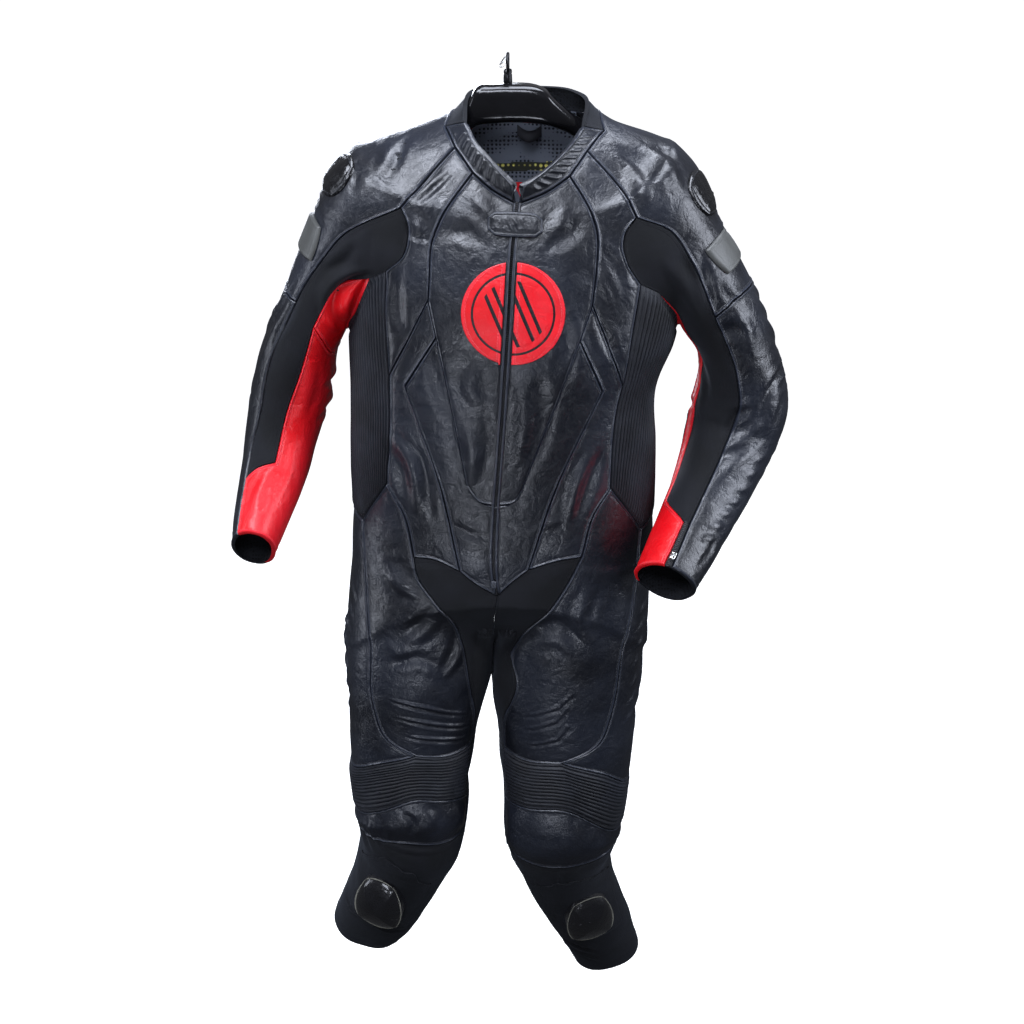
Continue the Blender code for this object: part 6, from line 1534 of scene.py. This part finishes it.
# Zip teeth: one block every pitch along a line, a little to each side in turn.
def chain(spine, name, node, lift, half):
    count = int(lengths(spine)[-1] / zipChain["pitch"])
    places = spaced(spine, count)
    normals = unit(formSlope(places, both))
    along = unit(np.gradient(places, axis=0))
    across = np.cross(normals, along)
    turn = np.where(np.arange(len(places)) % 2, 1, -1)[:, None]
    places = places + (foldHeight(places) - zipChain["sunk"] + lift)[:, None] * normals
    places = places + zipChain["aside"] * turn * across
    points, faces = blocks(places, along, across, normals, np.array(half))
    faces = outwards(points, faces.tolist())
    addPiece(name, [node], points, faces, [finishes["darkSteel"]], weld=0, sharp=30)


# Closure tab over the top of the zip: half its length, and half its width at places along it.
tab = dict(half=0.0355, at=[-0.0355, -0.026, -0.013, 0.013, 0.026, 0.0355],
           width=[0.0075, 0.0155, 0.0165, 0.0165, 0.0155, 0.0075], lean=0.05)


# Six-sided, padded, stitched round and creased across; its edge is rounded.
def makeClosure():
    u, v = np.meshgrid(np.linspace(-tab["half"], tab["half"], 81), np.linspace(-1, 1, 41), indexing="ij")
    half = np.interp(u, tab["at"], tab["width"])
    x, y, z = tabCentre
    points = np.stack([x + u, np.full_like(u, y), z + half * v - tab["lean"] * u], 2)
    edge = np.minimum(half * (1 - np.abs(v)), tab["half"] - np.abs(u))
    wrinkles = np.sin(u * 1000 / 1.55 + 2.2 * v + 1.5 * np.sin(v * 3)) * np.clip((edge - 0.006) / 0.004, 0, 1)
    heights = (0.0026 * rounded(edge, 0.0022) - 0.0007 * hill(edge * 1000, 4.6, 0.7)
               + 0.0008 * np.clip((edge - 0.0055) / 0.005, 0, 1) + 0.00042 * wrinkles * hill(u, 0, 0.020))
    laid("closure_tab_cloth", "closure_tab", settleGrid(points, rounds=6), heights, "leather",
         "front_left_cloth", base=0.0022, wall=0.0010)


# A small leather cover over the lower end of the zip.
def makeZipStop():
    points, _, _, out = plan(front(*zipStopSpot), np.array([1.0, 0, 0]), np.array([0, 0, -1.0]),
                             (0.0045, 0.006), 16, 0.5)
    heights = 0.0012 * rounded(1 - out, 0.5)
    laid("zip_stop_cover", "zip_stop", settleGrid(points), heights, "leather", base=0.0012)


# Chest roundel: two red leather halves beside the zip, with a ring and slanted bars pressed in.
def makeRoundel():
    for side in outSign:
        angles = np.radians(np.linspace(6, 174, 97))
        reach = patchRadius * np.sin(angles)
        z = patchCentre[1] + patchRadius * np.cos(angles)
        near = 0.0075 * outSign[side] + np.interp(-z, [0.23, 0.334, 0.40], [0.006, 0.000, -0.004])
        far = near + outSign[side] * np.maximum(reach + outSign[side] * (patchCentre[0] - near), 0.002)
        x = near[:, None] + (far - near)[:, None] * np.linspace(0, 1, 57)
        points = np.stack([x, np.full_like(x, -0.11), np.repeat(z[:, None], 57, 1)], 2)
        right, up = x - patchCentre[0], z[:, None] - patchCentre[1]
        away = np.hypot(right, up)
        edge = np.minimum(np.abs(patchRadius - away), np.abs(x - near[:, None]))
        dark = np.clip(0.5 + roundelMotif(right, up, away) / 0.004, 0, 1)
        heights = 0.0005 * rounded(edge, 0.0016) - 0.0005 * dark
        laid(f"roundel_{side}", f"chest_patch_{side}", settleGrid(points, rounds=8), heights, "red",
             f"front_{side}_cloth", base=0.0010, wall=0.0006, printed=dark)


motif = dict(ring=0.0535, ringHalf=0.0016, lean=0.42, bars=0.0185, apart=0.0070, barHalf=0.0026, end=0.044)


# How far inside the black parts each place lies: a ring, and four slanted bars that end on a circle.
def roundelMotif(x, z, away):
    ring = motif["ringHalf"] - np.abs(away - motif["ring"])
    slanted = np.abs(np.abs(x + motif["lean"] * z) - motif["bars"])
    bars = motif["barHalf"] - np.abs(slanted - motif["apart"])
    return np.maximum(np.minimum(bars, motif["end"] - away), ring)


# Shoulder caps of glossy moulded leather and flat arm plates of grey TPU.
def makeArmour():
    for side in outSign:
        one = (side,)
        centre, outward, across, down = limbFrame(side, "sleeve", *armourSpots[side]["cap"])
        points, p, q, out = plan(centre, across, down, (0.034, 0.031), 56, 0.9)
        heights = 0.0050 * np.sqrt(np.clip(1 - out**2, 0, 1)) + 0.0004 - 0.0009 * hill(out, 0.80, 0.035)
        heights += 0.0011 * hill(q, 0.30 + 0.25 * p**2, 0.06) * (out < 0.72)
        points = settleGrid(points, one, rounds=6)
        laid(f"shoulder_cap_{side}_moulded", f"shoulder_cap_{side}", points, heights, "cap", None,
             outward, one, padding=0.9)
        centre, outward, across, down = limbFrame(side, "sleeve", *armourSpots[side]["plate"])
        points, p, q, out = plan(centre, across, down, (0.031, 0.024), 44, 0.30)
        points = points + (0.0055 * q)[..., None] * across
        heights = 0.0034 * rounded(1 - out, 0.16) + 0.0003 - 0.0004 * hill(out, 0.74, 0.025)
        points = settleGrid(points, one, rounds=6)
        laid(f"arm_plate_{side}_moulded", f"arm_plate_{side}", points, heights, "grey", None, outward,
             one, wall=0.0012)


# A knee puck: half sizes, taper, where its clear rim starts, dome, and how far its lower end stands off.
puck = dict(halves=(0.043, 0.056), taper=0.09, rim=0.945, inner=0.935, dome=0.0155, foot=0.0022, lift=0.0092)


# Knee sliders: a hook-and-loop flap with a wavy upper edge, and a smoky moulded puck with a clear rim.
def makeKneeSlider(side):
    one, spots = (side,), kneeSliders[side]
    degrees, t = np.meshgrid(np.linspace(-32, 62, 73), np.linspace(0, 1, 65))
    top = np.interp(degrees, spots["edgeDegrees"], spots["edge"])
    top = top + 0.0022 * np.sin(degrees / 4.1) + 0.0016 * np.sin(degrees / 2.3 + 1)
    along = top + (spots["low"] - top) * t
    turned = degrees + (degrees - 15) / 47 * t**2 * -12
    points = settle(onLimb(("leg", side), along.ravel(), turned.ravel()), one, rounds=3).reshape(*t.shape, 3)
    edge = edgeDistance(points)[0]
    heights = 0.0004 * rounded(edge, 0.0012) - 0.0004 * hill(edge * 1000, 5.0, 0.8)
    laid(f"puck_base_{side}_cloth", f"puck_base_{side}", points, heights, "stretch",
         f"shin_{side}_cloth", sides=one, wall=flapWall, base=0.0013)
    centre, outward, across, down = limbFrame(side, "leg", *spots["puck"])
    points, p, q, out = plan(centre, across, down, puck["halves"], 72, 0.95)
    points -= (puck["taper"] * (1 - q) * ((points - centre) @ across))[..., None] * across
    points = settleGrid(points, one, rounds=6)
    inner = np.clip(out / puck["inner"], 0, 1)
    dome = puck["dome"] * (1 - inner**2) ** 0.75 * (0.86 + 0.14 * np.cos(2.2 * (q + 0.15)))
    heights = puck["foot"] + puck["lift"] * (1 + q) + dome - 0.75 * ((points - centre) @ outward)
    rimAt = ((out[1:, 1:] + out[:-1, :-1]) / 2 > puck["rim"]).reshape(-1).astype(int)
    laid(f"puck_{side}_moulded", f"puck_{side}", points, heights, "puck", None, outward, one,
         base=0.0034, wall=0.0010, finishAt=("rim", rimAt))


# Places inside the back of the neck: a grid of (x, z), moved onto the form, with its normals.
def neckPlaces(x, z):
    points = settleGrid(np.stack([x, np.full_like(x, 0.06), z], 2), rounds=8, longest=0.03)
    return points, unitNormals(points, both)


# Mesh lining of the neck with a pale dotted strip and a red tag, and the hanging loop.
def makeNeckLining():
    t, s = np.meshgrid(np.linspace(0, 1, 81), np.linspace(0, 1, 97), indexing="ij")
    right, left = -0.048 - 0.040 * t, 0.088 + 0.036 * t
    points, normals = neckPlaces(right + (left - right) * s, -0.090 - 0.130 * t)
    high = points + (foldHeight(points) - 0.0062)[..., None] * normals
    walls = bothWalls(high, high + cloth["lining"] * normals)
    faces = outwards(walls, sum(wallFaces(t.shape), []))
    x, height = high[..., 0], high[..., 2]
    band = (np.abs(height + 0.158 - 0.02 * (x - 0.02)) < 0.006) & (x > -0.030) & (x < 0.075)
    pointed = 0.012 - 0.6 * np.clip(-0.186 - height, 0, 0.02)
    tag = (np.abs(x - 0.020) < pointed) & (height < -0.180) & (height > -0.200)
    kind = np.where(band, 1, np.where(tag, 2, 0))[:-1, :-1].reshape(-1)
    which = np.concatenate([kind, np.zeros(len(faces) - len(kind), int)])
    piece = addPiece("neck_lining_mesh", ["neck_lining"], walls, faces,
                     [finishes[name] for name in ("lining", "strip", "red")], which)
    _, _, wide, long = edgeDistance(points)
    hang(wide, long, np.linalg.norm(cellNormals(points), axis=2).sum())
    u, v = np.meshgrid(np.linspace(-1, 1, 41), np.linspace(-1, 1, 9), indexing="ij")
    sag = np.cos(u * math.pi / 2) ** 2
    points, normals = neckPlaces(0.029 + 0.016 * u + 0.003 * np.sin(3 * u), -0.115 - 0.007 * v - 0.006 * sag)
    sunk = foldHeight(points) - 0.0068 - 0.0065 * sag - 0.0012 * np.sin(2.5 * v) * sag
    top = points + sunk[..., None] * normals
    walls = bothWalls(top, top + 0.0011 * normals)
    piece = addPiece("hang_loop_woven", ["hang_loop"], walls, outwards(walls, sum(wallFaces(u.shape), [])),
                     [finishes["loop"]])


# Left cuff's zip: teeth along the strip, a steel slider and its pull tab.
def makeCuffZip():
    spine = settle((seams["left"]["outerCuff"] + seams["left"]["gussetEdge"]) / 2, ("left",), rounds=3)
    chain(spine, "cuff_zip_teeth", "cuff_gusset_left", 0.0016, (0.0006, 0.0017, 0.0005))
    centre, outward, across, down = limbFrame("left", "sleeve", *cuffSliderSpot)
    points, p, q, out = plan(centre, across, down, (0.0042, 0.0068), 20, 0.55)
    heights = 0.0022 * rounded(1 - out, 0.45) + 0.0009 * np.exp(-(p / 0.35) ** 2 - (q / 0.6) ** 4)
    points = settleGrid(points, ("left",))
    laid("cuff_slider_steel", "cuff_slider_left", points, heights, "steel", None, outward, ("left",),
         base=0.0014, wall=0.0008)
    pivot = np.array(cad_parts["cuff_pull_left"].matrix_world.translation)
    turn = np.linspace(0, 2 * math.pi, 48, endpoint=False)
    cos, sin = np.cos(turn), np.sin(turn)
    ring = np.stack([0.0030 * signedPower(cos, 0.55), 0.0106 + 0.0112 * signedPower(sin, 0.62)], 1)
    ring[:, 0] *= 1 + 0.18 * np.sin((ring[:, 1] - 0.004) / 0.018 * math.pi)
    hole = np.stack([0.0016 * cos, 0.0165 + 0.0028 * sin], 1)
    narrow = ring * (0.93, 1.0)
    layers = [(hole, 0.0008), (narrow, 0.0008), (ring, 0.0006)]
    layers += [(spot, -flat) for spot, flat in layers[::-1]]
    rings = np.stack([pivot + spot[:, :1] * across + spot[:, 1:] * down + flat * outward
                      for spot, flat in layers])
    ids = np.arange(6 * 48).reshape(6, 48)
    turned = np.roll(ids, -1, 1)
    faces = np.stack([ids, turned, np.roll(turned, -1, 0), np.roll(ids, -1, 0)], -1).reshape(-1, 4).tolist()
    points = rings.reshape(-1, 3)
    addPiece("cuff_pull_tab", ["cuff_pull_left"], points, outwards(points, faces), [finishes["steel"]],
             body="pull_tab", sharp=50)


# One section of the hanger: a squared oval that grows rounder away from the middle block.
def hangerSection(row, shrink, turn):
    x, y, z, high, deep = row
    power = 0.42 + 0.38 * np.clip((abs(x - 0.005) - 0.050) / 0.03, 0, 1)
    return np.stack([np.full(len(turn), x), y + shrink * deep * signedPower(np.cos(turn), power),
                     z + shrink * high / 2 * signedPower(np.sin(turn), power)], 1)


# The hook's foot and ferrule, from the bend down: height and radius of each ring.
hookFoot = [(-0.0140, rod), (-0.0172, rod), (-0.0177, 0.0038), (-0.0186, 0.0052), (-0.0215, 0.0056),
            (-0.0240, 0.0050), (-0.0250, 0.0056), (-0.0345, 0.0060), (-0.0357, 0.0057)]


# Hanger: a moulded body whose arms bear the shoulders, with a steel hook on a ferrule.
def makeHanger():
    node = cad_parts["hanger"]
    corners = np.array([node.matrix_world @ v.co for v in node.data.vertices])
    x, y, high, deep = hangerRows.values()
    heights = [corners[np.abs(corners[:, 0] - place) < 1e-4, 2] for place in x]
    middle = np.array([(ring.max() + ring.min()) / 2 for ring in heights])
    run = np.linspace(0, len(x) - 1, 8 * (len(x) - 1) + 1)
    values = between(np.stack([x, y, middle, high, deep], 1)[:, None], run)[:, 0]
    caps = [0.35, 0.64, 0.82, 0.94]      # the ends close in through smaller sections
    turn = np.linspace(0, 2 * math.pi, 64, endpoint=False)
    rows = [(values[0], share) for share in caps] + [(row, 1.0) for row in values]
    rows += [(values[-1], share) for share in caps[::-1]]
    points = np.concatenate([hangerSection(row, share, turn) for row, share in rows])
    faces = outwards(points, ringFaces(len(rows), len(turn)))
    addPiece("hanger_body", ["hanger"], points, faces, [finishes["plastic"]], sharp=60)
    degrees = np.radians(np.linspace(-65, 180, 74))
    bend = np.stack([-hookRadius * np.cos(degrees), hookZ + hookRadius * np.sin(degrees)], 1)
    foot = np.array(hookFoot)
    line = np.concatenate([bend, np.stack([np.full(len(foot), hookRadius), foot[:, 0]], 1)])
    radii = np.concatenate([np.full(len(bend), rod), foot[:, 1]])
    radii[:4] = rod * np.array([0.55, 0.80, 0.93, 1.0])      # the tip is rounded
    rings = tube(np.insert(line, 0, 0.0, axis=1), radii, 28, np.array([1.0, 0, 0]))
    points = rings.reshape(-1, 3)
    faces = outwards(points, ringFaces(len(rings), 28))
    addPiece("hook_rod", ["hook"], points, faces, [finishes["darkSteel"]], sharp=50)


makeCollar()
makeFrontZip()
makeClosure()
makeZipStop()
makeRoundel()
makeArmour()
for side in outSign:
    makeKneeSlider(side)
makeNeckLining()
makeCuffZip()
makeHanger()
print("pieces laid on the suit and the hanger done")


# Pale floor that turns up all round into a backdrop, lit from behind so that it stays white and
# throws no reflections on the leather.
stage = dict(floor=-1.70, radius=6.0, bend=1.5, top=4.5, around=96, colour="#ededeb", glow=0.84)


# The floor's section is a line, a quarter circle and a line, turned about the upright.
def makeStage():
    turn = np.linspace(0, math.pi / 2, 14)
    radius, bend, floorZ = stage["radius"], stage["bend"], stage["floor"]
    out = np.concatenate([[0.01], radius - bend * (1 - np.sin(turn)), [radius]])
    z = np.concatenate([[0.0], bend * (1 - np.cos(turn)), [stage["top"] - floorZ]]) + floorZ
    circle = np.linspace(0, 2 * math.pi, stage["around"], endpoint=False)[:, None]
    heights = np.broadcast_to(z, (len(circle), len(z)))
    points = np.stack([out * np.cos(circle), out * np.sin(circle), heights], 2)
    ids = np.arange(points[..., 0].size).reshape(points.shape[:2])
    turned = np.roll(ids, -1, 0)
    faces = np.stack([ids[:, :-1], ids[:, 1:], turned[:, 1:], turned[:, :-1]], -1).reshape(-1, 4).tolist()
    shape = bpy.data.meshes.new("studio_floor")
    shape.from_pydata(points.reshape(-1, 3).tolist(), [], faces + [ids[:, 0].tolist()])
    shape.shade_smooth()
    floor = bpy.data.objects.new("studio_floor", shape)
    bpy.context.collection.objects.link(floor)
    finish, tree, shader, place = newFinish("matt backdrop paper, lit from behind", 0.9,
                                            Emission_Strength=stage["glow"], Emission_Color=colour("#ffffff"))
    cloudy = addNode(tree, "TexNoise", {"Vector": place, "Scale": 0.8, "Detail": 3.0})
    base = addNode(tree, "Mix", {0: cloudy, 6: colour(stage["colour"]), 7: colour("#f4f4f3")}, **blend)
    tree.links.new(base, shader.inputs["Base Color"])
    shape.materials.append(finish)
    floor.visible_glossy = floor.visible_diffuse = floor.visible_shadow = False


# Soft lamps that face the suit's middle: place, width and height in metres, and watts.
lamps = dict(key=((-0.75, -1.1, 1.15), (1.0, 0.7), 42), fill=((1.5, -0.5, 0.0), (0.6, 1.5), 28),
             top=((0.15, -0.1, 0.95), (1.3, 0.5), 26), side=((-1.5, -0.3, -0.5), (0.35, 1.7), 10),
             front=((-0.25, -2.3, 1.0), (0.9, 0.5), 22), low=((-0.35, -1.9, -1.2), (0.8, 0.28), 7),
             rear=((-0.5, 2.3, -0.15), (1.0, 1.3), 45))
lampColour = "#ebf1ff"
room = dict(low="#7d7f84", high="#f4f6ff", strength=0.20)      # the room's own light, dimmer from below


# Lamps, and a room that brightens from below to above.
def makeLights():
    for name, (place, size, power) in lamps.items():
        lamp = bpy.data.lights.new(name, "AREA")
        lamp.shape, lamp.size, lamp.size_y, lamp.energy = "RECTANGLE", *size, power
        lamp.color = colour(lampColour)[:3]
        holder = bpy.data.objects.new(name, lamp)
        holder.location = place
        direction = Vector((0.0, 0.0, -0.55)) - Vector(place)
        holder.rotation_euler = direction.to_track_quat("-Z", "Y").to_euler()
        bpy.context.collection.objects.link(holder)
    world = bpy.data.worlds.new("pale room")
    world.use_nodes = True
    tree = world.node_tree
    sky = tree.nodes["Background"]
    sky.inputs["Strength"].default_value = room["strength"]
    height = addNode(tree, "SeparateXYZ", addNode(tree, "TexCoord", out="Generated"), out="Z")
    share = addNode(tree, "MapRange", height, -0.5, 0.6, **smooth)
    shade = addNode(tree, "Mix", {0: share, 6: colour(room["low"]), 7: colour(room["high"])}, **blend)
    tree.links.new(shade, sky.inputs["Color"])
    bpy.context.scene.world = world
    bpy.context.scene.view_settings.view_transform = "Standard"


# A camera that looks down at the suit from the front.
def makeCamera():
    eye = bpy.data.cameras.new("camera")
    eye.lens, eye.sensor_width = camera["lens"], camera["sensor"]
    holder = bpy.data.objects.new("camera", eye)
    holder.location = camera["place"]
    holder.rotation_euler = (math.radians(90 - camera["down"]), 0, 0)
    bpy.context.collection.objects.link(holder)
    bpy.context.scene.camera = holder


makeStage()
makeLights()
makeCamera()
